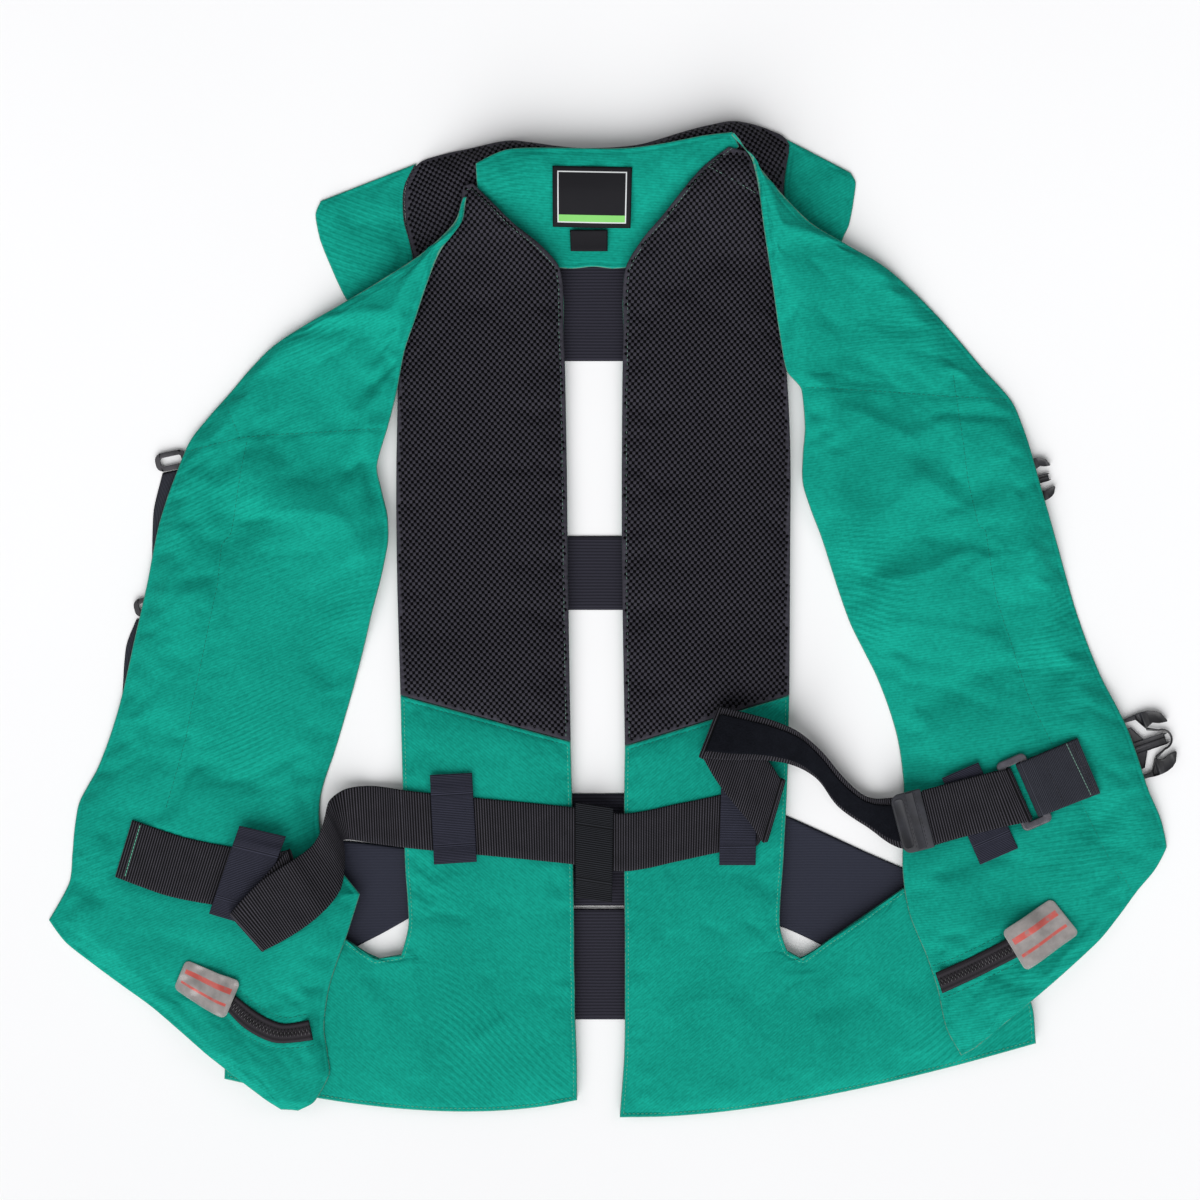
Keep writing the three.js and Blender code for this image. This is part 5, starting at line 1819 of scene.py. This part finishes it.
def plug_spring(width, reach):
    """The thin wire loop round the middle bar of the larger plug, from hook to hook."""
    half = SPRING_HALF * width
    bend = SPRING_REACH * reach - half
    high = SPRING_MIDDLE * MM
    bpy.ops.object.select_all(action="DESELECT")
    bpy.ops.mesh.primitive_circle_add(vertices=SPRING_SIDES, radius=SPRING_RADIUS * MM)
    wire = bpy.context.object
    bpy.ops.object.mode_set(mode="EDIT")
    bpy.ops.transform.rotate(value=math.radians(90), orient_axis="Y", center_override=(0, 0, 0))
    bpy.ops.transform.translate(value=(bend * MM, -half * MM, high))
    bpy.ops.mesh.spin(steps=SPRING_STEPS, angle=-math.pi, center=(bend * MM, 0, high), axis=(0, 0, 1))
    pick_edges(wire, lambda middle, run: abs(middle.x - bend) < 0.05)
    back = (HOOK_SPAN[1] * reach - bend) * MM
    bpy.ops.mesh.extrude_region_move(TRANSFORM_OT_translate={"value": (back, 0, 0)})
    bpy.ops.transform.resize(value=(1, SPRING_SPREAD, 1), center_override=(0, 0, 0))
    bpy.ops.mesh.select_all(action="SELECT")
    bpy.ops.mesh.remove_doubles(threshold=0.01 * MM)
    bpy.ops.mesh.fill_holes(sides=0)
    bpy.ops.mesh.normals_make_consistent(inside=False)
    return soften(wire, radius=0.1)


def buckle_plug(node, width, reach, turn, sprung, finish):
    """The plug half of a side-release buckle."""
    wide = BASE_WIDE * width
    base = start_block((BUCKLE_BASE, wide, BUCKLE_THICK), (-BUCKLE_BASE / 2, 0, BUCKLE_THICK / 2))
    open_frame(base, BASE_BAR)
    round_uprights(base, BASE_CORNER, lambda middle: abs(middle.y) > BASE_REACH * wide)
    blocks = [soften(base, radius=0.8), plug_plate(width, reach)]
    blocks += [plug_arm(width, reach, side) for side in (-1, 1)]
    blocks += plug_guide(width, reach)
    if sprung:
        blocks.append(plug_spring(width, reach))
    spot = own_spot(node, turn, BUCKLE_BASE)
    piece = set_in_place(blocks, node + "_plug", node, finish, spot, turn)
    straighten(piece)


def hard_pieces():
    """The ring, the strap slides, the belt's end and the two buckle plugs."""
    ring = moulded("ring_plastic", rough=0.22, grain=900)
    plug = moulded("plug_plastic", rough=0.3, grain=700)
    slide = moulded("slide_plastic", rough=0.5, grain=700)
    rubber = moulded("tab_rubber", rough=0.5, grain=1100)
    frame_piece("belt_ring", RING_SIZE, RING_BAR, RING_CORNER, RING_TURN, ring)
    for node, turn in (("strap_slide_upper", 12), ("strap_slide_lower", 14)):
        frame_piece(node, SLIDE_SIZE, SLIDE_BAR, SLIDE_CORNER, turn, slide)
    end_tab(rubber)
    buckle_plug("buckle_upper", width=31, reach=25, turn=16, sprung=False, finish=plug)
    buckle_plug("buckle_lower", width=46, reach=37, turn=19, sprung=True, finish=plug)


green_panels()
mesh_pads()
elastic_bands()
straps()
labels_and_tags()
zips()
hard_pieces()
for thread in threads.values():
    thread.piece()


# Floor, light and camera


CAMERA_PLACE = (-6.23, 13.25)
CAMERA_HIGH = 2.5
CAMERA_LENS = 106.6
FLOOR_SIZE = 12
FLOOR_LOW = 0.2 * MM
SKY_COLOUR = (0.98, 0.99, 1.0, 1.0)
SKY_STRENGTH = 0.22

# Two soft fills: where they hang, how wide they are and their power
FILL_PLACES = ((-0.95, 0.15, 0.95), (0.95, 0.15, 0.95))
FILL_SIZE = 0.7
FILL_POWER = 1.5

# The main light: how far from straight down it comes, which way, how wide it is, and its power
SUN_TILT = math.radians(48)
SUN_TURN = math.radians(-10)
SUN_ANGLE = math.radians(65)
SUN_POWER = 3.3


def lay_floor():
    """A plain pale floor just under the vest."""
    finish = Finish("floor_paper", Roughness=0.9, Specular_IOR_Level=0.1)
    place, _, _ = finish.place(0)
    clouds = finish.speckle(place, scale=3, detail=2)
    finish.set("Base Color", finish.mix(clouds, *TONES["floor_paper"]))
    bpy.ops.object.select_all(action="DESELECT")
    bpy.ops.mesh.primitive_plane_add(size=FLOOR_SIZE, location=(0, 0, -FLOOR_LOW))
    floor = bpy.context.object
    floor.name = "floor"
    floor.data.materials.append(finish.material)


def hang(name, data):
    """An object for a light or a camera."""
    thing = bpy.data.objects.new(name, data)
    bpy.context.scene.collection.objects.link(thing)
    return thing


def set_light():
    """A pale sky, two soft fills and one wide main light."""
    world = bpy.data.worlds.new("studio")
    bpy.context.scene.world = world
    world.use_nodes = True
    background = world.node_tree.nodes["Background"]
    background.inputs["Color"].default_value = SKY_COLOUR
    background.inputs["Strength"].default_value = SKY_STRENGTH
    for place in FILL_PLACES:
        light = bpy.data.lights.new("fill", "AREA")
        light.size = FILL_SIZE
        light.energy = FILL_POWER
        fill = hang("fill", light)
        fill.location = place
        fill.rotation_euler = (-fill.location).to_track_quat("-Z", "Y").to_euler()
    sunlight = bpy.data.lights.new("sun", "SUN")
    sunlight.energy = SUN_POWER
    sunlight.angle = SUN_ANGLE
    hang("sun", sunlight).rotation_euler = (SUN_TILT, 0, SUN_TURN)


def set_camera():
    """A camera that looks straight down on the vest."""
    lens = bpy.data.cameras.new("overhead")
    lens.lens = CAMERA_LENS
    camera = hang("overhead", lens)
    camera.location = (*in_plan(CAMERA_PLACE), CAMERA_HIGH)
    bpy.context.scene.camera = camera
    bpy.context.scene.view_settings.view_transform = "Standard"


lay_floor()
set_light()
set_camera()
